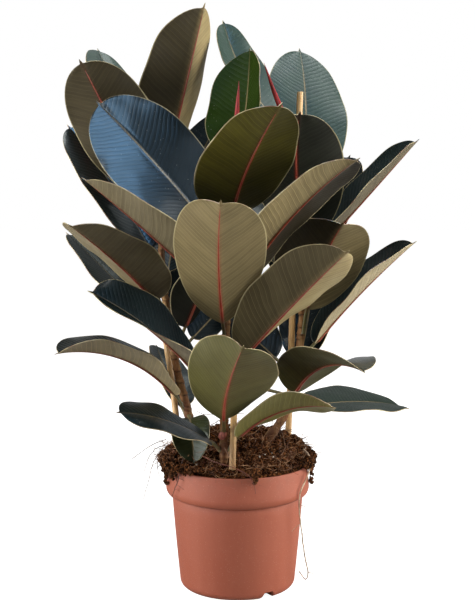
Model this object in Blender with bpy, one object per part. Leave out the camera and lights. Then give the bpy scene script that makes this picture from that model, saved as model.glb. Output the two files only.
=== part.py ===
# Potted rubber plant: three leafy cuttings with canes in one moulded pot.
# Metres, +Z up. The origin is the centre of the pot's flat underside and -Y is the front.

import math

import bmesh
import bpy
from mathutils import Vector

# Pot
POT_HEIGHT = 0.182
RIM_TOP_RADIUS = 0.1025
RIM_RADIUS = 0.105
COLLAR_DROP = 0.045
BODY_TOP_RADIUS = 0.0955
BODY_FOOT_RADIUS = 0.0845
FLOOR_RADIUS = 0.073
WALL = 0.0025
NOTCH_ANGLES = (-58, 122)
NOTCH_TOP_WIDTH = 0.014
NOTCH_FOOT_WIDTH = 0.024
NOTCH_HEIGHT = 0.011
ROUND_STEPS = 48

# Soil
GAP = 0.0003
SOIL_CROWN = 0.050
SPILL_RADIUS = 0.117
SOIL_RINGS = 9

# Stems, canes and bud sheaths
STEM_FOOT_RADIUS = 0.0065
STEM_TIP_RADIUS = 0.0042
CANE_RADIUS = 0.0042
SHEATH_RADIUS = 0.0045

# Leaves
STALK_RADIUS = 0.003
RIB_RADIUS = 0.0022
BLADE_THICKNESS = 0.0014
DRIP_TIP = 0.035
BLADE_STEPS = (0.0, 0.03, 0.12, 0.26, 0.42, 0.58, 0.74, 0.87, 0.96, 1.0)

# Loose roots
ROOT_RADIUS = 0.0011

# Each stem's centre line, from the root ball to its growing tip
STEM_ROUTES = {
    "left": [
        (-0.064, 0.026, 0.12), (-0.070, 0.032, 0.23), (-0.092, 0.045, 0.32),
        (-0.112, 0.070, 0.45), (-0.118, 0.100, 0.60),
    ],
    "front": [
        (-0.021, -0.068, 0.10), (-0.019, -0.070, 0.21), (-0.018, -0.079, 0.32),
        (-0.014, -0.075, 0.43), (-0.008, -0.057, 0.56), (-0.002, -0.045, 0.655),
    ],
    "right": [
        (0.034, 0.000, 0.12), (0.043, 0.000, 0.21), (0.068, 0.004, 0.25), (0.083, 0.010, 0.30),
        (0.094, 0.016, 0.38), (0.097, 0.023, 0.48), (0.092, 0.033, 0.60), (0.067, 0.040, 0.685),
    ],
}

# Foot and top of each straight cane
CANES = {
    "left": ((-0.073, 0.0065, 0.12), (-0.1083, 0.065, 0.358)),
    "front": ((-0.009, -0.087, 0.15), (0.0105, -0.060, 0.684)),
    "right": ((0.0725, 0.026, 0.12), (0.0897, 0.014, 0.72)),
}

# Foot and tip of each bud sheath, just above its stem
SHEATHS = {
    "left": ((-0.118, 0.1005, 0.6025), (-0.116, 0.106, 0.668)),
    "front": ((-0.0018, -0.0448, 0.6575), (0.002, -0.043, 0.730)),
    "right": ((0.0662, 0.0402, 0.6875), (0.0385, 0.044, 0.764)),
}

# Leaves in order up each stem. Angles in degrees: heading is the compass turn from +X, rise the
# slope at the stalk, arch how far the blade bends down again, sway how far it turns, roll and
# twist its turn about the midrib, fold and curl how far each half is raised and cupped.
# height, heading, rise, arch, sway, roll, twist, length, width, fold, curl, stalk
LEAVES = {
    "left": [
        (0.230, 115, 34, 0, -5, 15, 15, 0.145, 0.080, 15, 0, 0.035),
        (0.245, 275, 3, 85, 5, 5, 15, 0.090, 0.060, 20, 5, 0.030),
        (0.255, 210, 49, 55, 5, -20, 30, 0.215, 0.120, 20, 0, 0.025),
        (0.330, 15, 46, 5, 0, 38, 0, 0.098, 0.082, 15, 0, 0.035),
        (0.335, 315, 60, 5, 0, 0, 0, 0.150, 0.090, 15, 0, 0.045),
        (0.352, 70, 47, 20, 0, 0, 0, 0.180, 0.100, 15, 0, 0.040),
        (0.360, 145, 37, 0, 5, -5, 10, 0.220, 0.110, 10, 0, 0.030),
        (0.395, 240, 35, 10, 0, 0, 0, 0.235, 0.125, 20, 0, 0.035),
        (0.455, 150, 57, 10, 5, -20, 0, 0.245, 0.120, 15, -5, 0.035),
        (0.425, 85, 42, 15, 0, 0, 0, 0.200, 0.110, 15, 0, 0.040),
        (0.490, 50, 60, 10, 0, 0, 0, 0.212, 0.110, 15, 0, 0.045),
        (0.525, 215, 63, 10, 15, 30, 15, 0.240, 0.130, 15, -5, 0.035),
        (0.575, 315, 70, 0, 0, 0, 0, 0.245, 0.135, 25, 5, 0.040),
        (0.585, 130, 54, 10, -10, 15, 5, 0.250, 0.125, 10, -10, 0.040),
    ],
    "front": [
        (0.215, 340, 45, 50, -10, -5, -25, 0.160, 0.115, 10, -10, 0.025),
        (0.215, 205, 36, 30, 0, -10, -5, 0.150, 0.110, 5, -10, 0.020),
        (0.245, 270, 30, -5, 15, 0, -35, 0.245, 0.130, 25, 5, 0.035),
        (0.275, 210, 52, 25, -10, -10, -30, 0.225, 0.120, 20, 5, 0.035),
        (0.320, 325, 45, 5, 0, -10, -30, 0.220, 0.125, 25, 5, 0.045),
        (0.365, 265, 44, 5, 10, 5, -15, 0.255, 0.135, 25, 5, 0.045),
        (0.420, 205, 43, 5, -5, 5, -5, 0.230, 0.120, 20, 0, 0.035),
        (0.420, 325, 54, 25, -5, 0, -5, 0.250, 0.120, 10, -5, 0.040),
        (0.490, 170, 52, 10, -10, -50, -25, 0.245, 0.135, 15, 0, 0.040),
        (0.525, 275, 33, -10, 30, 5, -10, 0.235, 0.130, 10, -5, 0.025),
        (0.600, 75, 50, -35, 0, -30, -10, 0.170, 0.130, 15, 20, 0.035),
    ],
    "right": [
        (0.260, 40, 0, 15, 10, 10, 5, 0.235, 0.115, 10, -10, 0.035),
        (0.265, 290, 41, 50, 5, -10, 0, 0.225, 0.110, 20, 0, 0.030),
        (0.280, 165, 10, -30, 0, -25, 0, 0.100, 0.070, 15, 0, 0.035),
        (0.290, 62, 59, 8, 25, 0, 0, 0.150, 0.088, 15, 0, 0.040),
        (0.325, 0, 51, 10, -10, 8, 0, 0.210, 0.120, 20, 5, 0.035),
        (0.306, 171, 44, 10, 0, -40, 0, 0.094, 0.085, 15, 0, 0.035),
        (0.370, 300, 68, 35, -10, -25, 10, 0.170, 0.140, 20, 0, 0.035),
        (0.400, 95, 45, 20, 0, 0, 0, 0.200, 0.105, 15, 0, 0.035),
        (0.430, 130, 45, 15, 0, 0, 0, 0.190, 0.110, 15, 0, 0.035),
        (0.440, 60, 55, 10, 0, 0, 0, 0.212, 0.104, 15, 0, 0.035),
        (0.470, 350, 48, 0, -5, 12, 5, 0.215, 0.120, 20, 0, 0.025),
        (0.475, 255, 61, 20, 20, -5, 0, 0.230, 0.135, 15, 0, 0.030),
        (0.520, 120, 50, 10, 0, 0, 0, 0.200, 0.110, 15, 0, 0.035),
        (0.555, 80, 65, 15, 20, 15, 0, 0.250, 0.130, 5, -10, 0.035),
        (0.660, 140, 42, -30, 0, 0, -15, 0.180, 0.080, 15, 0, 0.035),
    ],
}

# Loose roots that hang or lie over the rim
ROOTS = {
    "root_long": [
        (0.096, -0.016, 0.205), (0.1035, -0.026, 0.196), (0.1035, -0.036, 0.180),
        (0.097, -0.050, 0.167), (0.089, -0.061, 0.152), (0.088, -0.060, 0.128),
        (0.091, -0.056, 0.099), (0.097, -0.046, 0.055), (0.102, -0.036, 0.027),
        (0.0985, -0.031, 0.016), (0.089, -0.030, 0.028),
    ],
    "root_front": [
        (-0.050, -0.074, 0.208), (-0.030, -0.090, 0.203), (-0.006, -0.098, 0.197),
        (0.014, -0.105, 0.189), (0.022, -0.1085, 0.176), (0.025, -0.1095, 0.163),
    ],
    "root_rim": [
        (-0.075, -0.058, 0.205), (-0.081, -0.069, 0.188), (-0.084, -0.070, 0.172),
        (-0.089, -0.064, 0.158), (-0.093, -0.058, 0.146),
    ],
    "root_side": [
        (-0.104, -0.012, 0.218), (-0.118, -0.016, 0.214), (-0.132, -0.021, 0.207),
        (-0.152, -0.026, 0.193),
    ],
}


def clear_scene():
    for item in list(bpy.data.objects):
        bpy.data.objects.remove(item, do_unlink=True)


def material(name, color, roughness):
    made = bpy.data.materials.new(name)
    made.use_nodes = True
    shader = made.node_tree.nodes["Principled BSDF"]
    shader.inputs["Base Color"].default_value = (*color, 1.0)
    shader.inputs["Roughness"].default_value = roughness
    shader.inputs["Metallic"].default_value = 0.0
    return made


def add_object(name, mesh, surface):
    piece = bpy.data.objects.new(name, mesh)
    bpy.context.scene.collection.objects.link(piece)
    if surface:
        mesh.materials.append(surface)
    return piece


def loft(name, rings):
    """A closed body through rings of points that all have the same count, with flat ends."""
    shape = bmesh.new()
    rows = [[shape.verts.new(point) for point in ring] for ring in rings]
    for lower, upper in zip(rows, rows[1:]):
        for k in range(len(lower)):
            after = (k + 1) % len(lower)
            shape.faces.new((lower[k], lower[after], upper[after], upper[k]))
    shape.faces.new(rows[0])
    shape.faces.new(rows[-1])
    bmesh.ops.recalc_face_normals(shape, faces=shape.faces)
    mesh = bpy.data.meshes.new(name)
    shape.to_mesh(mesh)
    shape.free()
    mesh.shade_smooth()
    mesh.set_sharp_from_angle(angle=math.radians(50))
    return mesh


def along(route, height):
    """The point at a height on a smooth line through a route's points."""
    last = len(route) - 2
    k = next((i for i in range(last) if height < route[i + 1][2]), last)
    points = [Vector(route[min(max(i, 0), last + 1)]) for i in range(k - 1, k + 3)]
    before, start, end, after = points
    span = end.z - start.z
    share = (height - start.z) / span
    slope_start = (end - before) / max(end.z - before.z, 1e-6) * span
    slope_end = (after - start) / max(after.z - start.z, 1e-6) * span
    square, cube = share ** 2, share ** 3
    return (
        start * (2 * cube - 3 * square + 1) + slope_start * (cube - 2 * square + share)
        + end * (3 * square - 2 * cube) + slope_end * (cube - square)
    )


def circle(centre, along_line, radius, count):
    """A ring of points about a centre, square to a direction."""
    across = along_line.cross(Vector((0.3, 1.0, 0.1))).normalized()
    other = along_line.cross(across).normalized()
    turns = [2 * math.pi * k / count for k in range(count)]
    return [centre + (across * math.cos(turn) + other * math.sin(turn)) * radius for turn in turns]


def tube(name, points, radii, count):
    rings = []
    for k, point in enumerate(points):
        behind = points[max(k - 1, 0)]
        ahead = points[min(k + 1, len(points) - 1)]
        rings.append(circle(point, (ahead - behind).normalized(), radii[k], count))
    return loft(name, rings)


def stem_radius(route, height):
    share = (height - route[0][2]) / (route[-1][2] - route[0][2])
    return STEM_FOOT_RADIUS + (STEM_TIP_RADIUS - STEM_FOOT_RADIUS) * share


def stem_mesh(name, route, extra=0.0):
    """The stem, or with extra radius the pocket that it stands in."""
    foot, tip = route[0][2] - extra, route[-1][2]
    heights = [foot + (tip - foot) * k / 14 for k in range(15)]
    points = [along(route, height) for height in heights]
    radii = [stem_radius(route, height) + extra for height in heights]
    return tube(name, points, radii, 10)


def cane_mesh(name, foot, top, extra=0.0):
    foot, top = Vector(foot), Vector(top)
    foot = foot - (top - foot).normalized() * extra
    return tube(name, [foot, (foot + top) / 2, top], [CANE_RADIUS + extra] * 3, 10)


def sheath_mesh(name, foot, tip):
    """A long pointed bud, widest a little above its foot."""
    foot, tip = Vector(foot), Vector(tip)
    shares = (0.0, 0.12, 0.3, 0.5, 0.7, 0.85, 1.0)
    sizes = (0.85, 1.0, 0.95, 0.75, 0.5, 0.3, 0.1)
    points = [foot.lerp(tip, share) for share in shares]
    return tube(name, points, [SHEATH_RADIUS * size for size in sizes], 10)


def profile_rings(profile):
    """Turns an outline of radius and height round the pot's axis into rings."""
    turns = [2 * math.pi * k / ROUND_STEPS for k in range(ROUND_STEPS)]
    return [[Vector((r * math.cos(a), r * math.sin(a), z)) for a in turns] for r, z in profile]


def arc(centre_r, centre_z, radius_r, radius_z, start, end, steps):
    turns = [math.radians(start + (end - start) * k / steps) for k in range(steps + 1)]
    return [(centre_r + radius_r * math.cos(a), centre_z + radius_z * math.sin(a)) for a in turns]


def inner_radius(height):
    """The pot's inner wall, which follows the tapered body up to the collar."""
    share = height / (POT_HEIGHT - COLLAR_DROP)
    body = BODY_FOOT_RADIUS + (BODY_TOP_RADIUS - BODY_FOOT_RADIUS) * min(share, 1.0)
    flare = (RIM_TOP_RADIUS - BODY_TOP_RADIUS) * max(share - 1.0, 0.0) / 0.33
    return body + flare - WALL


def pot_mesh():
    collar_foot = POT_HEIGHT - COLLAR_DROP
    foot_round = BODY_FOOT_RADIUS - FLOOR_RADIUS
    outline = [(0.02, 0.0)]
    outline += arc(FLOOR_RADIUS, foot_round, foot_round, foot_round, -90, 0, 5)
    outline += [(BODY_TOP_RADIUS, collar_foot - 0.0015), (BODY_TOP_RADIUS + 0.001, collar_foot)]
    outline += arc(RIM_RADIUS - 0.008, collar_foot + 0.012, 0.008, 0.0105, -60, 0, 4)
    outline += arc(RIM_TOP_RADIUS - 0.0015, POT_HEIGHT - 0.0015, 0.0015, 0.0015, 0, 180, 4)
    inner = [POT_HEIGHT - 0.010, collar_foot + 0.010, collar_foot, 0.070, foot_round]
    outline += [(inner_radius(height), height) for height in inner]
    outline += [(FLOOR_RADIUS - WALL, WALL + 0.001), (0.02, WALL + 0.0005)]
    return loft("pot", profile_rings(outline))


def notch_mesh():
    """A wedge that opens the foot of the wall, as wide as a drain notch at its foot."""
    rings = []
    for distance in (FLOOR_RADIUS - 0.012, BODY_FOOT_RADIUS + 0.012):
        rings.append([
            (distance, -NOTCH_FOOT_WIDTH / 2 - 0.001, -0.002),
            (distance, NOTCH_FOOT_WIDTH / 2 + 0.001, -0.002),
            (distance, NOTCH_TOP_WIDTH / 2, NOTCH_HEIGHT),
            (distance, -NOTCH_TOP_WIDTH / 2, NOTCH_HEIGHT),
        ])
    return loft("notch", rings)


def spill(turn):
    """How far the mound lies out over the rim: most at the left and back, none at the front."""
    return min(max((math.cos(turn - math.radians(110)) + 0.4) / 0.35, 0.0), 1.0)


def soil_ring(radius_share, turn):
    """A point on the mound's top, from the crown (0) out to its edge (1)."""
    edge_inside = inner_radius(POT_HEIGHT) - 0.002
    edge = edge_inside + (SPILL_RADIUS - edge_inside) * spill(turn)
    radius = edge * radius_share
    edge_height = POT_HEIGHT + 0.002 * (1 - spill(turn)) + 0.006 * spill(turn)
    rise = SOIL_CROWN - (edge_height - POT_HEIGHT)
    lean = 0.5 + 0.5 * spill(turn)
    height = edge_height + rise * (1 - radius_share ** 2.2) * (lean + (1 - lean) * (1 - radius_share))
    lumps = 0.0016 * math.sin(5 * turn + 9 * radius_share) + 0.0012 * math.sin(11 * turn + 3)
    if 0 < radius_share < 1:
        height += lumps
    return Vector((radius * math.cos(turn), radius * math.sin(turn), height))


def soil_mesh():
    turns = [2 * math.pi * k / ROUND_STEPS for k in range(ROUND_STEPS)]
    inner = [(0.02, WALL + 0.0015), (FLOOR_RADIUS - WALL - 0.004, WALL + 0.0025)]
    levels = (0.016, 0.070, POT_HEIGHT - COLLAR_DROP, POT_HEIGHT - 0.010, POT_HEIGHT - 0.002)
    inner += [(inner_radius(z) - 0.0012, z) for z in levels]
    rings = profile_rings(inner)
    lip_inside = inner_radius(POT_HEIGHT) - 0.0016
    lip = []
    skirt = []
    for turn in turns:
        edge = lip_inside + (SPILL_RADIUS - 0.003 - lip_inside) * spill(turn)
        lip.append(Vector((lip_inside * math.cos(turn), lip_inside * math.sin(turn), POT_HEIGHT + GAP)))
        skirt.append(Vector((edge * math.cos(turn), edge * math.sin(turn), POT_HEIGHT + 2 * GAP)))
    rings += [lip, skirt]
    for k in range(SOIL_RINGS, 0, -1):
        rings.append([soil_ring(k / SOIL_RINGS, turn) for turn in turns])
    rings.append([soil_ring(0.04, turn) for turn in turns])
    return loft("soil", rings)


def cut(piece, mesh, turn=0.0):
    """Cuts a pocket or an opening out of a piece with a hidden cutter."""
    cutter = add_object(piece.name + "_cutter", mesh, None)
    cutter.rotation_euler.z = turn
    cutter.hide_render = True
    cutter.display_type = "WIRE"
    step = piece.modifiers.new("pocket", "BOOLEAN")
    step.operation = "DIFFERENCE"
    step.solver = "EXACT"
    step.object = cutter


def direction(heading, rise):
    """A unit vector from a compass turn and a slope, both in degrees."""
    turn, slope = math.radians(heading), math.radians(rise)
    return Vector((
        math.cos(slope) * math.cos(turn), math.cos(slope) * math.sin(turn), math.sin(slope),
    ))


def half_width(share, width):
    """An oval outline with a short narrow drip tip."""
    body = share / (1 - DRIP_TIP)
    oval = math.sqrt(max(4 * body * (1 - body), 0.0)) * width / 2
    return max(oval, 0.0022 * (1 - share) / DRIP_TIP, 0.0006) if share > 0.5 else max(oval, RIB_RADIUS)


def blade_ring(centre, forward, heading, roll, half, fold, rib):
    """Six points across the blade: margin, midrib and margin, above and then below."""
    flat = Vector((-math.sin(heading), math.cos(heading), 0.0))
    up = forward.cross(flat)
    side = flat * math.cos(roll) + up * math.sin(roll)
    lift = up * math.cos(roll) - flat * math.sin(roll)
    reach, raised = half * math.cos(fold), half * math.sin(fold)
    left = centre + side * reach + lift * raised
    right = centre - side * reach + lift * raised
    return [
        left, centre, right,
        right - lift * BLADE_THICKNESS, centre - lift * (rib + BLADE_THICKNESS),
        left - lift * BLADE_THICKNESS,
    ]


def stalk_ring(centre, forward, heading):
    flat = Vector((-math.sin(heading), math.cos(heading), 0.0))
    up = forward.cross(flat)
    turns = [math.radians(30 + 60 * k) for k in range(6)]
    return [centre + (flat * math.cos(a) + up * math.sin(a)) * STALK_RADIUS for a in turns]


def leaf_mesh(name, stem, plan):
    height, heading, rise, arch, sway, roll, twist, length, width, fold, curl, stalk = plan
    route = STEM_ROUTES[stem]
    node = along(route, height)
    start = direction(heading, 0)
    forward = direction(heading, rise)
    lean = abs((along(route, height + 0.004) - along(route, height - 0.004)).dot(start)) / 2
    foot = node + start * (stem_radius(route, height) + lean + 2 * GAP)
    base = node + forward * (stalk + 0.005)
    bend = base - forward * (stalk * 0.55)
    turn = math.radians(heading)
    rings = [stalk_ring(foot, start, turn)]
    for share in (0.35, 0.7):
        centre = foot.lerp(bend, share).lerp(bend.lerp(base, share), share)
        ahead = (bend - foot).lerp(base - bend, share).normalized()
        rings.append(stalk_ring(centre, ahead, turn))
    centre = base
    last = 0.0
    for share in BLADE_STEPS:
        for k in range(4):
            middle = last + (share - last) * (k + 0.5) / 4
            centre = centre + direction(
                heading + sway * middle, rise - arch * middle) * (length * (share - last) / 4)
        last = share
        ahead = direction(heading + sway * share, rise - arch * share)
        rib = RIB_RADIUS * (1 - 0.8 * share)
        rings.append(blade_ring(
            centre, ahead, math.radians(heading + sway * share), math.radians(roll + twist * share),
            half_width(share, width), math.radians(fold + curl / 2), rib))
    return loft(name, rings)


def smooth_route(points, steps):
    """Points of a smooth curve through a root's route."""
    made = []
    for k in range(len(points) - 1):
        before = Vector(points[max(k - 1, 0)])
        start, end = Vector(points[k]), Vector(points[k + 1])
        after = Vector(points[min(k + 2, len(points) - 1)])
        for step in range(steps):
            s = step / steps
            made.append(0.5 * (
                2 * start + (end - before) * s + (2 * before - 5 * start + 4 * end - after) * s ** 2
                + (3 * start - before - 3 * end + after) * s ** 3))
    return made + [Vector(points[-1])]


def build():
    clear_scene()
    terracotta = material("pot_plastic", (0.42, 0.13, 0.07), 0.55)
    compost = material("compost", (0.045, 0.020, 0.010), 0.95)
    bark = material("bark", (0.16, 0.07, 0.03), 0.75)
    cane = material("cane", (0.55, 0.34, 0.16), 0.6)
    red_bud = material("red_bud", (0.35, 0.02, 0.02), 0.4)
    leaf_green = material("leaf_green", (0.02, 0.03, 0.025), 0.3)
    root_brown = material("root_brown", (0.32, 0.20, 0.12), 0.7)

    pot = add_object("pot", pot_mesh(), terracotta)
    for angle in NOTCH_ANGLES:
        cut(pot, notch_mesh(), math.radians(angle))

    soil = add_object("soil", soil_mesh(), compost)
    for side, route in STEM_ROUTES.items():
        add_object("stem_" + side, stem_mesh("stem_" + side, route), bark)
        cut(soil, stem_mesh("stem_pocket", route, GAP))
    for side, (foot, top) in CANES.items():
        add_object("cane_" + side, cane_mesh("cane_" + side, foot, top), cane)
        cut(soil, cane_mesh("cane_pocket", foot, top, GAP))
    for side, (foot, tip) in SHEATHS.items():
        add_object("sheath_" + side, sheath_mesh("sheath_" + side, foot, tip), red_bud)

    for stem, plans in LEAVES.items():
        for number, plan in enumerate(plans, 1):
            name = f"leaf_{stem}_{number:02d}"
            add_object(name, leaf_mesh(name, stem, plan), leaf_green)

    for name, points in ROOTS.items():
        route = smooth_route(points, 3)
        add_object(name, tube(name, route, [ROOT_RADIUS] * len(route), 6), root_brown)


build()
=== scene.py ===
# Potted rubber plant: detailed leaves, stems, soil and pot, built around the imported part.
import math
import random

import bpy
import numpy as np
from mathutils import Matrix, Vector, noise


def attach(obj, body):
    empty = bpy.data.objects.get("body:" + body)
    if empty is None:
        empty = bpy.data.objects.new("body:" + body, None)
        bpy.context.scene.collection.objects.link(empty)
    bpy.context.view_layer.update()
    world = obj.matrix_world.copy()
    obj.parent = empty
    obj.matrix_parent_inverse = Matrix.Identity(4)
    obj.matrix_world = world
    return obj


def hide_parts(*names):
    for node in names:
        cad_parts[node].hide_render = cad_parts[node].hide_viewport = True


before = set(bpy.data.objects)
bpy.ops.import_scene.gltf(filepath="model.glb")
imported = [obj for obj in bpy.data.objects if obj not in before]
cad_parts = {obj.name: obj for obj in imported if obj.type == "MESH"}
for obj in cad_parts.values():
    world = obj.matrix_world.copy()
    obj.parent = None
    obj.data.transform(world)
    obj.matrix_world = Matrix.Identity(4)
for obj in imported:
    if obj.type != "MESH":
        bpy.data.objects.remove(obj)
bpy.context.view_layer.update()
print("frame in:", len(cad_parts), "nodes")


def clearSelection():
    if bpy.context.object and bpy.context.object.mode != "OBJECT":
        bpy.ops.object.mode_set(mode="OBJECT")
    bpy.ops.object.select_all(action="DESELECT")


def pick(piece):
    clearSelection()
    piece.select_set(True)
    bpy.context.view_layer.objects.active = piece


def newPiece(name):
    piece = bpy.context.object
    piece.name = name
    piece.data.name = name
    return piece


def applyModifier(piece, name, kind, **settings):
    pick(piece)
    modifier = piece.modifiers.new(name, kind)
    for key, value in settings.items():
        setattr(modifier, key, value)
    bpy.ops.object.modifier_apply(modifier=name)


def applyPlace(piece):
    pick(piece)
    bpy.ops.object.transform_apply(location=True, rotation=True, scale=True)


def smooth(piece, angle=40):
    pick(piece)
    bpy.ops.object.shade_smooth_by_angle(angle=math.radians(angle))


def dress(piece, *materials):
    piece.data.materials.clear()
    for material in materials:
        piece.data.materials.append(material)


def handOver(piece, slot, *nodes):
    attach(piece, "root")
    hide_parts(*nodes)


def finishPiece(piece, material, angle, slot, *nodes):
    dress(piece, material)
    smooth(piece, angle)
    handOver(piece, slot, *nodes)


def getPoints(piece):
    points = np.zeros(len(piece.data.vertices) * 3)
    piece.data.vertices.foreach_get("co", points)
    return points.reshape(-1, 3)


def setPoints(piece, points):
    piece.data.vertices.foreach_set("co", np.asarray(points, float).ravel())
    piece.data.update()


def turnsOf(points):
    return np.arctan2(points[:, 1], points[:, 0])


def linkNew(name, data):
    made = bpy.data.objects.new(name, data)
    bpy.context.scene.collection.objects.link(made)
    return made


def turnedPiece(name, profile, sides):
    # a disc whose face is extruded and resized along the profile, like work on a lathe
    radius, height = profile[0]
    clearSelection()
    bpy.ops.mesh.primitive_circle_add(
        vertices=sides, radius=radius, fill_type="NGON", location=(0, 0, height))
    piece = newPiece(name)
    bpy.ops.object.mode_set(mode="EDIT")
    bpy.ops.mesh.select_all(action="SELECT")
    for nextRadius, nextHeight in profile[1:]:
        bpy.ops.mesh.extrude_region_move(
            TRANSFORM_OT_translate={"value": (0, 0, nextHeight - height)})
        ratio = nextRadius / radius
        bpy.ops.transform.resize(value=(ratio, ratio, 1), center_override=(0, 0, nextHeight))
        radius, height = nextRadius, nextHeight
    bpy.ops.mesh.select_all(action="SELECT")
    bpy.ops.mesh.normals_make_consistent(inside=False)
    bpy.ops.object.mode_set(mode="OBJECT")
    applyPlace(piece)
    return piece


def drawnStrands(name, strands, corners=2):
    # every strand is a list of (point, radius) pairs on one curve object with a round bevel
    clearSelection()
    curve = bpy.data.curves.new(name, "CURVE")
    curve.dimensions = "3D"
    curve.bevel_depth = 1.0
    curve.bevel_resolution = corners
    curve.use_fill_caps = True
    for strand in strands:
        spline = curve.splines.new("POLY")
        spline.points.add(len(strand) - 1)
        for spot, (point, radius) in zip(spline.points, strand):
            spot.co = (*point, 1)
            spot.radius = radius
    piece = linkNew(name, curve)
    pick(piece)
    bpy.ops.object.convert(target="MESH")
    return newPiece(name)


def softRoute(points, steps):
    # evenly stepped points on a smooth curve through the given ones
    made = []
    spots = [Vector(p) for p in points]
    for k in range(len(spots) - 1):
        before, start = spots[max(k - 1, 0)], spots[k]
        end, after = spots[k + 1], spots[min(k + 2, len(spots) - 1)]
        for step in range(steps):
            s = step / steps
            made.append(0.5 * (
                2 * start + (end - before) * s
                + (2 * before - 5 * start + 4 * end - after) * s ** 2
                + (3 * start - before - 3 * end + after) * s ** 3))
    return made + [spots[-1]]


def addNode(tree, kind, inputs=None, **settings):
    node = tree.nodes.new(kind)
    for key, value in settings.items():
        setattr(node, key, value)
    for key, value in (inputs or {}).items():
        socket = node.inputs[key]
        if isinstance(value, bpy.types.NodeSocket):
            tree.links.new(value, socket)
        else:
            socket.default_value = value
    return node


def calc(tree, operation, a, b=0.0, clamp=False):
    return addNode(
        tree, "ShaderNodeMath", {0: a, 1: b}, operation=operation, use_clamp=clamp).outputs[0]


def times(tree, a, b):
    return calc(tree, "MULTIPLY", a, b)


def plus(tree, a, b):
    return calc(tree, "ADD", a, b)


def blendColor(tree, share, a, b, kind="MIX"):
    node = addNode(tree, "ShaderNodeMix", data_type="RGBA", blend_type=kind)
    for index, value in ((0, share), (6, a), (7, b)):
        if isinstance(value, bpy.types.NodeSocket):
            tree.links.new(value, node.inputs[index])
        else:
            node.inputs[index].default_value = value if index == 0 else (*value[:3], 1)
    return node.outputs[2]


def scaled(tree, color, factors):
    return blendColor(tree, 1.0, color, factors, "MULTIPLY")


def between(tree, value, low, high, first=0.0, last=1.0):
    return addNode(tree, "ShaderNodeMapRange", {
        0: value, 1: low, 2: high, 3: first, 4: last}, interpolation_type="SMOOTHSTEP").outputs[0]


def grainNoise(tree, vector, scale, detail=4.0, rough=0.55, warp=0.0):
    return addNode(tree, "ShaderNodeTexNoise", {
        "Vector": vector, "Scale": scale, "Detail": detail, "Roughness": rough,
        "Distortion": warp}).outputs[0]


def objectSpace(tree, scale=(1, 1, 1)):
    space = addNode(tree, "ShaderNodeTexCoord").outputs["Object"]
    return addNode(tree, "ShaderNodeMapping", {"Vector": space, "Scale": scale}).outputs[0]


def tint(tree, color, mask, amount, other):
    return blendColor(tree, times(tree, mask, amount), color, other)


def painted(tree, name):
    return addNode(tree, "ShaderNodeAttribute", attribute_name=name).outputs["Color"]


def colorParts(tree, color):
    return addNode(tree, "ShaderNodeSeparateColor", {0: color}).outputs


def heightOf(tree, vector):
    return addNode(tree, "ShaderNodeSeparateXYZ", {0: vector}).outputs[2]


def newMaterial(name, **fixed):
    material = bpy.data.materials.new(name)
    material.use_nodes = True
    tree = material.node_tree
    shader = tree.nodes["Principled BSDF"]
    for key, value in fixed.items():
        shader.inputs[key].default_value = value
    return material, tree, shader


def newGroup(name, takes, gives):
    group = bpy.data.node_groups.new(name, "ShaderNodeTree")
    for label, kind, value in takes:
        socket = group.interface.new_socket(label, in_out="INPUT", socket_type="NodeSocket" + kind)
        if value is not None:
            socket.default_value = value
    for label, kind in gives:
        group.interface.new_socket(label, in_out="OUTPUT", socket_type="NodeSocket" + kind)
    takenSockets = group.nodes.new("NodeGroupInput").outputs
    givenSockets = group.nodes.new("NodeGroupOutput").inputs
    return group, takenSockets, givenSockets


def useGroup(tree, group, inputs):
    node = tree.nodes.new("ShaderNodeGroup")
    node.node_tree = group
    for key, value in inputs.items():
        if isinstance(value, bpy.types.NodeSocket):
            tree.links.new(value, node.inputs[key])
        else:
            node.inputs[key].default_value = value
    return node.outputs


def reliefNormal(tree, height, distance, strength=1.0):
    return addNode(tree, "ShaderNodeBump", {
        "Height": height, "Distance": distance, "Strength": strength}).outputs[0]


def finishSkin(tree, shader, color, height, depth):
    tree.links.new(color, shader.inputs["Base Color"])
    tree.links.new(reliefNormal(tree, height, depth), shader.inputs["Normal"])


def makeSpecks():
    # sparse small spots, for dust, water marks and grit
    group, takes, gives = newGroup(
        "specks",
        [("Vector", "Vector", None), ("Scale", "Float", 200.0), ("Size", "Float", 0.3),
         ("Share", "Float", 0.3)],
        [("Mask", "Float")])
    cells = addNode(group, "ShaderNodeTexVoronoi", {
        "Vector": takes["Vector"], "Scale": takes["Scale"]})
    chosen = calc(group, "LESS_THAN", addNode(
        group, "ShaderNodeSeparateColor", {0: cells.outputs["Color"]}).outputs[0], takes["Share"])
    near = calc(group, "DIVIDE", cells.outputs["Distance"], takes["Size"])
    spot = between(group, near, 1.0, 0.4)
    group.links.new(times(group, spot, chosen), gives["Mask"])
    return group


def makeGrain():
    # two sizes of soft noise mixed, for uneven colour and fine relief
    group, takes, gives = newGroup(
        "grain",
        [("Vector", "Vector", None), ("Coarse", "Float", 20.0), ("Fine", "Float", 300.0)],
        [("Cloud", "Float"), ("Grit", "Float"), ("Both", "Float")])
    cloud = grainNoise(group, takes["Vector"], takes["Coarse"], 3.0)
    grit = grainNoise(group, takes["Vector"], takes["Fine"], 5.0, 0.65)
    group.links.new(cloud, gives["Cloud"])
    group.links.new(grit, gives["Grit"])
    group.links.new(
        plus(group, times(group, cloud, 0.6), times(group, grit, 0.4)),
        gives["Both"])
    return group


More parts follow.
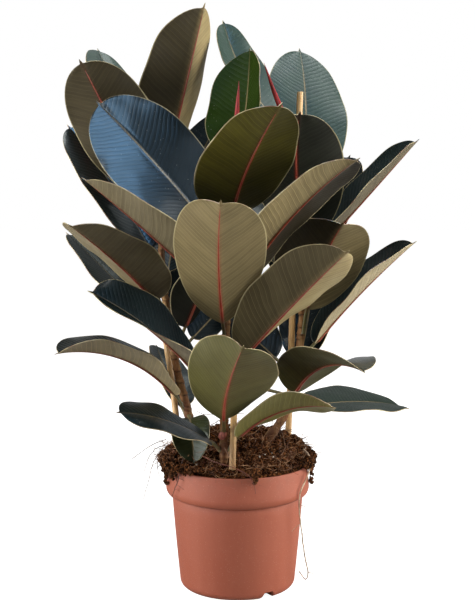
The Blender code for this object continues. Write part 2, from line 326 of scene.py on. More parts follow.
def makeBladeVeins():
    # side veins that leave the midrib nearly square and bend towards the tip
    group, takes, gives = newGroup(
        "bladeVeins",
        [("Along", "Float", 0.0), ("Across", "Float", 0.0), ("Seed", "Float", 0.0),
         ("Spacing", "Float", 0.005), ("Slant", "Float", 0.3)],
        [("Line", "Float"), ("Relief", "Float"), ("Streak", "Float")])
    reach = calc(group, "ABSOLUTE", takes["Across"])
    bent = times(group, calc(group, "POWER", reach, 1.15), takes["Slant"])
    place = addNode(group, "ShaderNodeCombineXYZ", {
        0: takes["Along"], 1: takes["Across"], 2: takes["Seed"]}).outputs[0]
    wander = times(group, grainNoise(group, place, 16.0, 2.0), 0.012)
    leaning = plus(group, calc(group, "SUBTRACT", takes["Along"], bent), wander)
    row = calc(group, "DIVIDE", leaning, takes["Spacing"])
    main = calc(group, "PINGPONG", row, 0.5)
    small = calc(group, "PINGPONG", times(group, row, 3.0), 0.5)
    line = between(group, main, 0.36, 0.5)
    smallLine = times(group, between(group, small, 0.3, 0.5), 0.35)
    stretched = addNode(group, "ShaderNodeCombineXYZ", {
        0: row, 1: times(group, takes["Across"], 9.0), 2: takes["Seed"]}).outputs[0]
    streak = grainNoise(group, stretched, 0.75, 4.0, 0.62)
    both = calc(group, "MAXIMUM", line, smallLine)
    patchy = times(group, both, between(group, streak, 0.25, 0.75, 0.35, 1.0))
    group.links.new(patchy, gives["Line"])
    group.links.new(plus(group, times(group, main, 2.0), patchy), gives["Relief"])
    group.links.new(streak, gives["Streak"])
    return group


specks = makeSpecks()
grain = makeGrain()
bladeVeins = makeBladeVeins()


def useSpecks(tree, vector, scale, size, share):
    return useGroup(tree, specks, {
        "Vector": vector, "Scale": scale, "Size": size, "Share": share})["Mask"]


def useGrain(tree, vector, coarse, fine):
    return useGroup(tree, grain, {"Vector": vector, "Coarse": coarse, "Fine": fine})


leafLook = {
    "veinSpacing": 0.0076,
    "veinSlant": 0.92,
    "upperRibTan": (0.20, 0.15, 0.07),
    "underRibRed": (0.27, 0.028, 0.014),
    "marginPale": (0.52, 0.45, 0.25),
    "stalkGreen": (0.105, 0.095, 0.030),
    "dustPale": (0.42, 0.42, 0.38),
}


def bladeInputs(tree):
    uv = addNode(tree, "ShaderNodeUVMap", uv_map="bladeMap").outputs[0]
    split = addNode(tree, "ShaderNodeSeparateXYZ", {0: uv}).outputs
    spot = painted(tree, "bladeSpot")
    share = colorParts(tree, spot)
    veins = useGroup(tree, bladeVeins, {
        "Along": split[0], "Across": split[1], "Seed": times(tree, share[2], 40.0),
        "Spacing": leafLook["veinSpacing"], "Slant": leafLook["veinSlant"]})
    return split, share, veins


def makeUpperSkin():
    material, tree, shader = newMaterial(
        "leafUpper", **{
            "Roughness": 0.34, "Coat Weight": 0.4, "Coat Roughness": 0.15,
            "Specular Tint": (0.72, 0.86, 1.0, 1.0)})
    split, share, veins = bladeInputs(tree)
    tone = painted(tree, "upperTone")
    space = objectSpace(tree)
    tissue = useGrain(tree, space, 28.0, 420.0)
    color = blendColor(tree, between(tree, tissue["Cloud"], 0.3, 0.7, 0.0, 0.5), tone,
                       scaled(tree, tone, (1.6, 1.5, 1.35)))
    color = tint(tree, color, veins["Line"], 0.14, scaled(tree, tone, (2.4, 2.3, 1.9)))
    width = calc(tree, "ABSOLUTE", split[1])
    rib = between(tree, width, 0.0019, 0.0007)
    ribTint = times(tree, rib, between(tree, share[1], 1.0, 0.5, 0.1, 0.8))
    color = blendColor(tree, ribTint, color, leafLook["upperRibTan"])
    color = blendColor(tree, between(tree, share[0], 0.975, 0.995, 0.0, 0.6), color,
                       leafLook["marginPale"])
    dust = useSpecks(tree, space, 260.0, 0.22, 0.14)
    color = tint(tree, color, dust, 0.25, leafLook["dustPale"])
    gloss = addNode(tree, "ShaderNodeAttribute", attribute_name="gloss").outputs["Fac"]
    tree.links.new(between(tree, gloss, 0.0, 0.5, 0.08, 0.3), shader.inputs["Specular IOR Level"])
    rough = calc(tree, "SUBTRACT", between(tree, tissue["Both"], 0.35, 0.7, 0.42, 0.56),
                 times(tree, gloss, 0.14))
    tree.links.new(rough, shader.inputs["Roughness"])
    tree.links.new(times(tree, gloss, 0.4), shader.inputs["Coat Weight"])
    height = plus(tree, times(tree, veins["Relief"], -0.5),
                  times(tree, tissue["Grit"], 0.15))
    height = plus(tree, height, times(tree, rib, -0.6))
    finishSkin(tree, shader, color, height, 0.00040)
    return material


def makeUnderSkin():
    material, tree, shader = newMaterial(
        "leafUnder", **{"Coat Weight": 0.04, "Coat Roughness": 0.35, "Specular IOR Level": 0.25})
    split, share, veins = bladeInputs(tree)
    tone = painted(tree, "underTone")
    space = objectSpace(tree)
    tissue = useGrain(tree, space, 22.0, 520.0)
    color = blendColor(tree, between(tree, tissue["Cloud"], 0.3, 0.7, 0.0, 0.45), tone,
                       scaled(tree, tone, (0.62, 0.58, 0.55)))
    color = blendColor(tree, between(tree, veins["Streak"], 0.38, 0.66, 0.0, 0.55), color,
                       scaled(tree, tone, (0.50, 0.48, 0.46)))
    color = tint(tree, color, veins["Line"], 0.5, scaled(tree, tone, (1.75, 1.7, 1.6)))
    width = calc(tree, "ABSOLUTE", split[1])
    flush = between(tree, width, 0.0048, 0.0010, 0.0, 0.35)
    flush = times(tree, flush, between(tree, share[1], 0.95, 0.3, 0.15, 1.0))
    color = blendColor(tree, flush, color, leafLook["underRibRed"])
    color = blendColor(tree, between(tree, share[0], 0.968, 0.99, 0.0, 0.7), color,
                       leafLook["marginPale"])
    dots = useSpecks(tree, space, 700.0, 0.3, 0.35)
    color = tint(tree, color, dots, 0.18, scaled(tree, tone, (1.9, 1.8, 1.6)))
    tree.links.new(between(tree, tissue["Both"], 0.35, 0.7, 0.42, 0.58), shader.inputs["Roughness"])
    height = plus(tree, times(tree, veins["Relief"], 0.5),
                  times(tree, tissue["Grit"], 0.2))
    finishSkin(tree, shader, color, height, 0.00016)
    return material


def makeMargin():
    material, tree, shader = newMaterial("leafMargin", **{"Roughness": 0.45})
    space = objectSpace(tree)
    tissue = useGrain(tree, space, 60.0, 500.0)
    color = blendColor(tree, between(tree, tissue["Cloud"], 0.35, 0.65), leafLook["marginPale"],
                       (0.20, 0.10, 0.05))
    finishSkin(tree, shader, color, tissue["Grit"], 0.0002)
    return material


def makeRibSkin():
    material, tree, shader = newMaterial("leafRib", **{"Roughness": 0.42, "Coat Weight": 0.1})
    spot = painted(tree, "bladeSpot")
    share = colorParts(tree, spot)
    space = objectSpace(tree)
    tissue = useGrain(tree, space, 90.0, 700.0)
    under = blendColor(tree, between(tree, tissue["Cloud"], 0.3, 0.7, 0.0, 0.5),
                       leafLook["underRibRed"], (0.30, 0.10, 0.05))
    rib = blendColor(tree, between(tree, share[0], 0.45, 0.75), under, leafLook["upperRibTan"])
    stalk = blendColor(tree, between(tree, tissue["Cloud"], 0.35, 0.7, 0.0, 0.6),
                       leafLook["stalkGreen"], (0.16, 0.09, 0.04))
    color = blendColor(tree, between(tree, share[1], 0.0, 0.06), stalk, rib)
    finishSkin(tree, shader, color, tissue["Both"], 0.0003)
    return material


leafSkins = (makeUpperSkin(), makeUnderSkin(), makeMargin(), makeRibSkin())
print("leaf finishes made")


stemRoutes = {
    "left": [
        (-0.064, 0.026, 0.12), (-0.070, 0.032, 0.23), (-0.092, 0.045, 0.32),
        (-0.112, 0.070, 0.45), (-0.118, 0.100, 0.60),
    ],
    "front": [
        (-0.021, -0.068, 0.10), (-0.019, -0.070, 0.21), (-0.018, -0.079, 0.32),
        (-0.014, -0.075, 0.43), (-0.008, -0.057, 0.56), (-0.002, -0.045, 0.655),
    ],
    "right": [
        (0.034, 0.000, 0.12), (0.043, 0.000, 0.21), (0.068, 0.004, 0.25), (0.083, 0.010, 0.30),
        (0.094, 0.016, 0.38), (0.097, 0.023, 0.48), (0.092, 0.033, 0.60), (0.067, 0.040, 0.685),
    ],
}

# under side colour, upper side colour and gloss of a leaf of each tone; the two near-black tones
# hold painted shade for leaves deep inside the plant
leafTones = {
    "brown": ((0.200, 0.160, 0.076), (0.006, 0.011, 0.010), 1.0),
    "olive": ((0.150, 0.140, 0.044), (0.007, 0.014, 0.010), 1.0),
    "moss": ((0.100, 0.088, 0.012), (0.007, 0.014, 0.008), 1.0),
    # painted shade: the next two tones have near-black under sides and darkened upper sides for
    # leaves in deep shade
    "shadedDusk": ((0.012, 0.013, 0.008), (0.003, 0.006, 0.006), 0.25),
    "shadedNight": ((0.012, 0.013, 0.008), (0.003, 0.006, 0.006), 0.5),
    "umber": ((0.130, 0.105, 0.054), (0.004, 0.009, 0.009), 1.0),
    "navy": ((0.130, 0.105, 0.054), (0.002, 0.007, 0.008), 0.3),
    "tan": ((0.280, 0.235, 0.135), (0.007, 0.013, 0.011), 0.8),
    "slate": ((0.110, 0.095, 0.060), (0.024, 0.044, 0.034), 0.25),
    "fern": ((0.080, 0.075, 0.030), (0.020, 0.026, 0.007), 0.25),
    "sage": ((0.110, 0.095, 0.060), (0.010, 0.018, 0.012), 0.12),
    "young": ((0.110, 0.125, 0.016), (0.012, 0.027, 0.0004), 0.0),
}

# painted shade and light: how much darker or lighter the under side of the first and second half of
# some blades is painted, standing in for the shade and light that fall on them
paintedHalfShades = {
    "left_13": (0.28, 1.8),
    "left_03": (1.1, 1.2),
    "left_12": (0.38, 0.28),
    "left_08": (1.65, 0.8),
    "front_01": (1.35, 1.35),
    "front_05": (0.55, 1.8),
    "front_06": (1.2, 1.1),
    "front_07": (0.66, 0.66),
    "right_05": (1.3, 1.3),
    "right_11": (0.48, 0.48),
    "front_08": (1.4, 0.12),
    "front_10": (0.95, 0.5),
    "right_07": (0.14, 1.05),
    "right_02": (0.45, 0.5),
    "right_12": (1.6, 1.6),
    "front_03": (0.67, 0.67),
}

# height on the stem, heading, rise, arch, sway, roll, twist, length, width, fold, curl, stalk, tone
leafPlans = {
    "left": [
        (0.230, 115, 34, 0, -5, 15, 15, 0.145, 0.080, 15, 0, 0.035, "shadedDusk"),
        (0.245, 275, 3, 85, 5, 5, 15, 0.090, 0.060, 20, 5, 0.030, "fern"),
        (0.255, 210, 49, 55, 5, -20, 30, 0.215, 0.120, 20, 0, 0.025, "brown"),
        (0.330, 15, 46, 5, 0, 38, 0, 0.098, 0.082, 15, 0, 0.035, "shadedDusk"),
        (0.335, 315, 60, 5, 0, 0, 0, 0.150, 0.090, 15, 0, 0.045, "shadedDusk"),
        (0.352, 70, 47, 20, 0, 0, 0, 0.180, 0.100, 15, 0, 0.040, "shadedDusk"),
        (0.360, 145, 37, 0, 5, -5, 10, 0.220, 0.110, 10, 0, 0.030, "sage"),
        (0.395, 240, 35, 10, 0, 0, 0, 0.235, 0.125, 20, 0, 0.035, "umber"),
        (0.455, 150, 57, 10, 5, -20, 0, 0.245, 0.120, 15, -5, 0.035, "umber"),
        (0.425, 85, 42, 15, 0, 0, 0, 0.200, 0.110, 15, 0, 0.040, "shadedDusk"),
        (0.490, 50, 60, 10, 0, 0, 0, 0.212, 0.110, 15, 0, 0.045, "shadedDusk"),
        (0.525, 215, 63, 10, 15, 30, 15, 0.240, 0.130, 15, -5, 0.035, "brown"),
        (0.575, 315, 70, 0, 0, 0, 0, 0.245, 0.135, 25, 5, 0.040, "brown"),
        (0.585, 130, 54, 10, -10, 15, 5, 0.250, 0.125, 10, -10, 0.040, "slate"),
    ],
    "front": [
        (0.215, 340, 45, 50, -10, -5, -25, 0.160, 0.115, 10, -10, 0.025, "olive"),
        (0.215, 205, 36, 30, 0, -10, -5, 0.150, 0.110, 5, -10, 0.020, "navy"),
        (0.245, 270, 30, -5, 15, 0, -35, 0.245, 0.130, 25, 5, 0.035, "olive"),
        (0.275, 210, 52, 25, -10, -10, -30, 0.225, 0.120, 20, 5, 0.035, "navy"),
        (0.320, 325, 45, 5, 0, -10, -30, 0.220, 0.125, 25, 5, 0.045, "brown"),
        (0.365, 265, 44, 5, 10, 5, -15, 0.255, 0.135, 25, 5, 0.045, "brown"),
        (0.420, 205, 43, 5, -5, 5, -5, 0.230, 0.120, 20, 0, 0.035, "tan"),
        (0.420, 325, 54, 25, -5, 0, -5, 0.250, 0.120, 10, -5, 0.040, "brown"),
        (0.490, 170, 52, 10, -10, -50, -25, 0.245, 0.135, 15, 0, 0.040, "shadedNight"),
        (0.525, 275, 33, -10, 30, 5, -10, 0.235, 0.130, 10, -5, 0.025, "moss"),
        (0.600, 75, 50, -35, 0, -30, -10, 0.170, 0.130, 15, 20, 0.035, "young"),
    ],
    "right": [
        (0.260, 40, 0, 15, 10, 10, 5, 0.235, 0.115, 10, -10, 0.035, "sage"),
        (0.265, 290, 41, 50, 5, -10, 0, 0.225, 0.110, 20, 0, 0.030, "olive"),
        (0.280, 165, 10, -30, 0, -25, 0, 0.100, 0.070, 15, 0, 0.035, "shadedDusk"),
        (0.290, 62, 59, 8, 25, 0, 0, 0.150, 0.088, 15, 0, 0.040, "shadedDusk"),
        (0.325, 0, 51, 10, -10, 8, 0, 0.210, 0.120, 20, 5, 0.035, "tan"),
        (0.306, 171, 44, 10, 0, -40, 0, 0.094, 0.085, 15, 0, 0.035, "shadedDusk"),
        (0.370, 300, 68, 35, -10, -25, 10, 0.170, 0.140, 20, 0, 0.035, "brown"),
        (0.400, 95, 45, 20, 0, 0, 0, 0.200, 0.105, 15, 0, 0.035, "shadedDusk"),
        (0.430, 130, 45, 15, 0, 0, 0, 0.190, 0.110, 15, 0, 0.035, "shadedDusk"),
        (0.440, 60, 55, 10, 0, 0, 0, 0.212, 0.104, 15, 0, 0.035, "shadedDusk"),
        (0.470, 350, 48, 0, -5, 12, 5, 0.215, 0.120, 20, 0, 0.025, "tan"),
        (0.475, 255, 61, 20, 20, -5, 0, 0.230, 0.135, 15, 0, 0.030, "shadedDusk"),
        (0.520, 120, 50, 10, 0, 0, 0, 0.200, 0.110, 15, 0, 0.035, "shadedDusk"),
        (0.555, 80, 65, 15, 20, 15, 0, 0.250, 0.130, 5, -10, 0.035, "slate"),
        (0.660, 140, 42, -30, 0, 0, -15, 0.180, 0.080, 15, 0, 0.035, "slate"),
    ],
}

leafShape = {
    "stepsAlong": 150,
    "stepsAcross": 26,
    "bladeThickness": 0.0009,
    "tipShare": 0.035,
    "tipHalfWidth": 0.0030,
    "waveHeight": 0.0016,
    "quiltHeight": 0.0005,
    "grooveDepth": 0.0006,
    "stalkRadius": 0.0026,
    "ribRadius": 0.0017,
    "ribSides": 10,
    "ribRings": 72,
    "stalkPart": 0.16,
    "broadWave": 0.0045,
    "grooveWidth": 0.003,
}

stemSize = {"footRadius": 0.0065, "tipRadius": 0.0042}


def routePoint(route, height):
    last = len(route) - 2
    k = next((i for i in range(last) if height < route[i + 1][2]), last)
    spots = [np.array(route[min(max(i, 0), last + 1)]) for i in range(k - 1, k + 3)]
    before, start, end, after = spots
    span = end[2] - start[2]
    share = (height - start[2]) / span
    slopeStart = (end - before) / max(end[2] - before[2], 1e-6) * span
    slopeEnd = (after - start) / max(after[2] - start[2], 1e-6) * span
    square, cube = share ** 2, share ** 3
    return (start * (2 * cube - 3 * square + 1) + slopeStart * (cube - 2 * square + share)
            + end * (3 * square - 2 * cube) + slopeEnd * (cube - square))


def stemRadius(route, height):
    share = (height - route[0][2]) / (route[-1][2] - route[0][2])
    return stemSize["footRadius"] + (stemSize["tipRadius"] - stemSize["footRadius"]) * share


def headingVector(heading, rise):
    heading, rise = np.radians(heading), np.radians(rise)
    flat = np.cos(rise)
    climb = np.sin(rise) + 0 * heading
    return np.stack([flat * np.cos(heading), flat * np.sin(heading), climb], -1)


def sideAndUp(heading, forward, roll):
    turn = np.radians(heading)
    flat = np.stack([-np.sin(turn), np.cos(turn), 0 * turn], -1)
    up = np.cross(forward, flat)
    cosRoll, sinRoll = np.cos(np.radians(roll))[..., None], np.sin(np.radians(roll))[..., None]
    return flat * cosRoll + up * sinRoll, up * cosRoll - flat * sinRoll


def halfWidth(share, width):
    body = share / (1 - leafShape["tipShare"])
    oval = np.sqrt(np.clip(4 * body * (1 - body), 0, None)) * width / 2
    grow = np.clip((share - 0.8) / 0.12, 0, 1)
    tip = leafShape["tipHalfWidth"] * grow * np.clip((1 - share) / 0.045, 0, 1)
    return (oval ** 3 + tip ** 3) ** (1 / 3)


def softNoise(points, seed):
    return np.array([noise.noise((x, y, z + seed)) for x, y, z in points])


def makeLeafBlanks():
    clearSelection()
    bpy.ops.mesh.primitive_grid_add(
        x_subdivisions=leafShape["stepsAlong"], y_subdivisions=leafShape["stepsAcross"], size=1)
    blade = newPiece("bladeBlank")
    rings = leafShape["ribRings"]
    profile = [(1.0, k / rings) for k in range(rings + 1)]
    rib = turnedPiece("ribBlank", profile, leafShape["ribSides"])
    return blade, rib


def copyPiece(source, name):
    piece = linkNew(name, source.data.copy())
    return piece


def paintPoints(piece, name, colors):
    layer = piece.data.attributes.new(name, "FLOAT_COLOR", "POINT")
    values = np.ones((len(piece.data.vertices), 4))
    values[:, :3] = colors
    layer.data.foreach_set("color", values.ravel())


def mapPoints(piece, pairs):
    data = piece.data
    while data.uv_layers:
        data.uv_layers.remove(data.uv_layers[0])
    layer = data.uv_layers.new(name="bladeMap")
    owner = np.zeros(len(data.loops), int)
    data.loops.foreach_get("vertex_index", owner)
    layer.uv.foreach_set("vector", pairs[owner].ravel())


def makeLeaf(blanks, name, stem, plan, seed):
    (height, heading, rise, arch, sway, roll, twist,
     length, width, fold, curl, stalk, tone) = plan
    route = stemRoutes[stem]
    node = routePoint(route, height)
    start = headingVector(heading, 0.0)
    forward = headingVector(heading, rise)
    stemRun = routePoint(route, height + 0.004) - routePoint(route, height - 0.004)
    lean = abs(np.dot(stemRun, start)) / 2
    foot = node + start * (stemRadius(route, height) + lean * 0.6)
    base = node + forward * (stalk + 0.005)
    bend = base - forward * (stalk * 0.55)

    # midrib line, in fine steps
    fine = np.linspace(0, 1, 401)
    middle = (fine[1:] + fine[:-1]) / 2
    steps = headingVector(heading + sway * middle, rise - arch * middle) * (length / 400)
    midrib = np.vstack([base, base + np.cumsum(steps, 0)])

    def onMidrib(share):
        place = np.stack([np.interp(share, fine, midrib[:, k]) for k in range(3)], -1)
        ahead = headingVector(heading + sway * share, rise - arch * share)
        side, up = sideAndUp(heading + sway * share, ahead, roll + twist * share)
        return place, side, up

    # blade
    blade = copyPiece(blanks[0], "blade_" + name)
    points = getPoints(blade)
    even = points[:, 0] + 0.5
    share = 0.45 * even + 0.55 * (0.5 - 0.5 * np.cos(np.pi * even))
    across = points[:, 1] * 2
    part = np.abs(across)
    place, side, up = onMidrib(share)
    half = halfWidth(share, width)
    angle = np.radians(fold + curl * part / 2)
    reach = half * across * np.cos(angle)
    lift = half * part * np.sin(angle)
    spots = np.stack([share * length * 38 + across * 0.7, half * across * 46, 0 * share], -1)
    quilt = softNoise(spots, seed * 7.3) * leafShape["quiltHeight"] * np.sqrt(part)
    broad = softNoise(np.stack([share * 3.1, across * 0.9, 0 * share], -1), seed * 3.7)
    broad = broad * leafShape["broadWave"]
    wave = np.sin(share * (14 + seed % 5) + seed * 2.1 + np.sign(across) * 1.3)
    wave = wave * leafShape["waveHeight"] * part ** 4
    groove = np.exp(-(half * across / leafShape["grooveWidth"]) ** 2)
    groove = -leafShape["grooveDepth"] * groove
    lift = lift + (quilt + broad * part + wave) * np.clip(half / 0.02, 0, 1) + groove
    setPoints(blade, place + side * reach[:, None] + up * lift[:, None])
    mapPoints(blade, np.stack([share * length, half * across], -1))
    under, upper, gloss = leafTones[tone]
    shade = 0.92 + 0.16 * ((seed * 0.618) % 1)
    # painted shade and light on the under side, half by half
    near, far = paintedHalfShades.get(name, (1.0, 1.0))
    mix = np.clip(half * across / 0.012 + 0.5, 0, 1)
    halfShade = (near * (1 - mix) + far * mix)[:, None]
    paintPoints(blade, "underTone", np.array(under) * shade * halfShade)
    paintPoints(blade, "upperTone", np.array(upper) * shade)
    paintPoints(blade, "gloss", gloss)
    paintPoints(blade, "bladeSpot", np.stack([part, share, share * 0 + (seed % 17) / 17], -1))
    pick(blade)
    bpy.ops.object.mode_set(mode="EDIT")
    bpy.ops.mesh.select_all(action="SELECT")
    bpy.ops.mesh.remove_doubles(threshold=0.00002)
    bpy.ops.object.mode_set(mode="OBJECT")
    dress(blade, *leafSkins)
    applyModifier(blade, "thickness", "SOLIDIFY", thickness=leafShape["bladeThickness"],
                  offset=-1, material_offset=1, material_offset_rim=2)

    # stalk and midrib in one tube that tapers to the tip
    rib = copyPiece(blanks[1], "rib_" + name)
    points = getPoints(rib)
    ring = points[:, 2]
    turn = turnsOf(points)
    stalkPart = leafShape["stalkPart"]
    early = np.clip(ring / stalkPart, 0, 1)[:, None]
    on = foot * (1 - early) ** 2 + bend * 2 * early * (1 - early) + base * early ** 2
    tangent = (bend - foot) * (1 - early) + (base - bend) * early
    tangent = tangent / np.linalg.norm(tangent, axis=1, keepdims=True)
    flatSide, flatUp = sideAndUp(heading + 0 * ring, tangent, 0 * ring)
    share = np.clip((ring - stalkPart) / (1 - stalkPart), 0, 1) * 0.985
    place, side, up = onMidrib(share)
    join = np.clip(ring / stalkPart, 0, 1)[:, None] ** 2
    side = side * join + flatSide * (1 - join)
    up = up * join + flatUp * (1 - join)
    taper = leafShape["ribRadius"] * (1 - share) ** 0.75 + 0.00025
    stalkRadius = leafShape["stalkRadius"] * (1 + 0.25 * np.exp(-(ring / 0.012) ** 2))
    blendIn = np.clip(share / 0.30, 0, 1) ** 0.6
    radius = stalkRadius * (1 - blendIn) + taper * blendIn
    sink = (taper * 0.86 + leafShape["grooveDepth"]) * np.clip(share / 0.04, 0, 1)
    where = np.where((ring < stalkPart)[:, None], on, place) - up * sink[:, None]
    offset = side * (np.cos(turn) * radius)[:, None] + up * (np.sin(turn) * radius * 0.94)[:, None]
    setPoints(rib, where + offset)
    mapPoints(rib, np.stack([ring * length, turn * 0.002], -1))
    paintPoints(rib, "underTone", np.array(under) * shade)
    paintPoints(rib, "upperTone", np.array(upper) * shade)
    paintPoints(rib, "gloss", gloss)
    paintPoints(rib, "bladeSpot", np.stack([0.5 + 0.5 * np.sin(turn), share, share * 0], -1))
    dress(rib, *leafSkins)
    rib.data.polygons.foreach_set("material_index", [3] * len(rib.data.polygons))

    clearSelection()
    rib.select_set(True)
    blade.select_set(True)
    bpy.context.view_layer.objects.active = blade
    bpy.ops.object.join()
    smooth(blade, 50)
    handOver(blade, "leaf_green", "leaf_" + name)


blanks = makeLeafBlanks()
leafCount = 0
for stemName, plans in leafPlans.items():
    for number, plan in enumerate(plans, 1):
        leafCount += 1
        makeLeaf(blanks, f"{stemName}_{number:02d}", stemName, plan, leafCount)
for blank in blanks:
    bpy.data.objects.remove(blank)
print("leaves made:", leafCount)


stemLook = {
    "barkBrown": (0.175, 0.068, 0.020),
    "barkGrey": (0.33, 0.185, 0.072),
    "scarDark": (0.035, 0.015, 0.008),
    "youngGreen": (0.12, 0.13, 0.045),
    "wrinkle": 0.00035,
    "nodeSwell": 0.0011,
    "ringHeight": 0.0022,
    "ringGap": 0.0173,
    "scarDepth": 0.0005,
    "youngFrom": 0.50,
}


def makeBark():
    material, tree, shader = newMaterial(
        "bark", **{"Roughness": 0.62, "Specular IOR Level": 0.2})
    space = objectSpace(tree)
    long = objectSpace(tree, (1, 1, 0.12))
    skin = useGrain(tree, long, 150.0, 900.0)
    patch = useGrain(tree, space, 45.0, 600.0)
    color = blendColor(tree, between(tree, skin["Cloud"], 0.35, 0.7), stemLook["barkBrown"],
                       stemLook["barkGrey"])
    color = blendColor(tree, between(tree, patch["Cloud"], 0.5, 0.7, 0.0, 0.6), color,
                       (0.17, 0.06, 0.022))
    pores = useSpecks(tree, space, 520.0, 0.35, 0.3)
    color = tint(tree, color, pores, 0.6, (0.33, 0.23, 0.14))
    scar = painted(tree, "scar")
    mark = colorParts(tree, scar)
    color = tint(tree, color, mark[0], 0.85, stemLook["scarDark"])
    color = tint(tree, color, mark[1], 0.8, stemLook["youngGreen"])
    low = heightOf(tree, space)
    damp = times(tree, between(tree, low, 0.285, 0.225), between(
        tree, patch["Both"], 0.35, 0.6, 0.35, 0.85))
    color = blendColor(tree, damp, color, (0.060, 0.022, 0.009))
    height = plus(tree, skin["Both"], times(tree, pores, 0.5))
    finishSkin(tree, shader, color, height, 0.0007)
    return material


barkSkin = makeBark()

for stemName, route in stemRoutes.items():
    low, high = route[0][2] + 0.004, route[-1][2]
    heights = [low + (high - low) * k / 260 for k in range(261)]
    strand = [(routePoint(route, z), stemRadius(route, z)) for z in heights]
    strand.append((np.array(route[-1]) + np.array((0, 0, 0.0012)), stemSize["tipRadius"] * 0.55))
    stem = drawnStrands("stemBark_" + stemName, [strand], corners=8)
    points = getPoints(stem)
    centre = np.array([routePoint(route, min(max(z, low), high)) for z in points[:, 2]])
    out = points - centre
    out = out / np.maximum(np.linalg.norm(out, axis=1, keepdims=True), 1e-6)
    seedShift = len(stemName)
    ridges = softNoise(points * (260, 260, 60), seedShift) * stemLook["wrinkle"]
    lumps = softNoise(points * (55, 55, 70), seedShift + 9) * stemLook["wrinkle"] * 1.6
    swell = 0 * ridges
    scar = 0 * ridges
    nodeHeights = [plan[0] for plan in leafPlans[stemName]]
    nodeHeights += list(np.arange(low + 0.05, 0.42, stemLook["ringGap"]))
    for z in nodeHeights:
        tilt = 0.0006 * np.sin(turnsOf(out) * 2 + z * 900)
        gap = (points[:, 2] - z + tilt) / stemLook["ringHeight"]
        swell = np.maximum(swell, np.exp(-gap ** 2))
        scar = np.maximum(scar, np.exp(-((gap + 0.9) * 2.6) ** 2))
    swell = swell * stemLook["nodeSwell"] - scar * stemLook["scarDepth"]
    setPoints(stem, points + out * (ridges + lumps + swell)[:, None])
    young = np.clip((points[:, 2] - stemLook["youngFrom"]) / 0.10, 0, 1)
    paintPoints(stem, "scar", np.stack([scar, young, 0 * scar], -1))
    finishPiece(stem, barkSkin, 70, "bark", "stem_" + stemName)
print("stems made")


caneEnds = {
    "left": ((-0.073, 0.0065, 0.12), (-0.1083, 0.065, 0.358)),
    "front": ((-0.009, -0.087, 0.15), (0.0105, -0.060, 0.684)),
    "right": ((0.0725, 0.026, 0.12), (0.0897, 0.014, 0.72)),
}
caneLook = {
    "radius": 0.0047,
    "nodeGap": 0.105,
    "nodeSwell": 0.00045,
    "straw": (0.66, 0.41, 0.16),
    "strawDark": (0.34, 0.175, 0.06),
    "stain": (0.10, 0.045, 0.02),
}


def makeCaneSkin():
    material, tree, shader = newMaterial("caneStraw", **{"Roughness": 0.5, "Coat Weight": 0.15})
    long = objectSpace(tree, (1, 1, 0.04))
    space = objectSpace(tree)
    fibre = useGrain(tree, long, 420.0, 1600.0)
    patch = useGrain(tree, space, 26.0, 500.0)
    color = blendColor(tree, between(tree, fibre["Both"], 0.35, 0.68, 0.0, 0.75), caneLook["straw"],
                       caneLook["strawDark"])
    color = blendColor(tree, between(tree, patch["Cloud"], 0.52, 0.75, 0.0, 0.6), color,
                       caneLook["strawDark"])
    low = heightOf(tree, space)
    damp = times(tree, between(tree, low, 0.26, 0.19), between(
        tree, patch["Both"], 0.35, 0.6, 0.35, 0.9))
    color = blendColor(tree, damp, color, caneLook["stain"])
    finishSkin(tree, shader, color, fibre["Both"], 0.0004)
    return material


caneSkin = makeCaneSkin()

for caneName, (foot, top) in caneEnds.items():
    foot, top = Vector(foot), Vector(top)
    length = (top - foot).length
    radius, nodeGap = caneLook["radius"], caneLook["nodeGap"]
    profile = [(radius * 0.9, 0.0)]
    steps = int(length / 0.004)
    firstNode = 0.052 + 0.017 * len(caneName)
    for k in range(1, steps):
        z = length * k / steps
        gap = (z - firstNode + nodeGap / 2) % nodeGap - nodeGap / 2
        ring = math.exp(-(gap / 0.0028) ** 2) * caneLook["nodeSwell"]
        profile.append((radius * (1 - 0.05 * z / length) + ring, z))
    profile += [(radius * 0.93, length - 0.0006), (radius * 0.84, length), (radius * 0.5, length),
                (radius * 0.45, length - 0.002)]
    cane = turnedPiece("caneRod_" + caneName, profile, 24)
    points = getPoints(cane)
    turn = turnsOf(points)
    if caneName == "left":
        # a lengthwise split that faces the front
        split = np.exp(-((turn + 1.3) / 0.22) ** 2) * np.clip((points[:, 2] - 0.02) / 0.03, 0, 1)
        points[:, :2] *= (1 - 0.42 * split)[:, None]
    else:
        flat = np.exp(-((turn + 1.9) / 0.55) ** 2)
        points[:, :2] *= (1 - 0.07 * flat)[:, None]
    bow = 0.0006 * np.sin(points[:, 2] / length * math.pi * 3 + len(caneName))
    points[:, 0] += bow
    setPoints(cane, points)
    turned = (top - foot).to_track_quat("Z", "Y").to_matrix().to_4x4()
    cane.matrix_world = Matrix.Translation(foot) @ turned
    applyPlace(cane)
    finishPiece(cane, caneSkin, 35, "cane", "cane_" + caneName)
print("canes made")


sheathEnds = {
    "left": ((-0.118, 0.1005, 0.6025), (-0.116, 0.106, 0.668)),
    "front": ((-0.0018, -0.0448, 0.6575), (0.002, -0.043, 0.730)),
    "right": ((0.0662, 0.0402, 0.6875), (0.0385, 0.044, 0.764)),
}
sheathLook = {
    "radius": 0.0044,
    "red": (0.32, 0.014, 0.012),
    "redDark": (0.09, 0.006, 0.005),
    "footGreen": (0.20, 0.10, 0.04),
    "pink": (0.46, 0.13, 0.085),
    "pinkDark": (0.16, 0.035, 0.022),
}


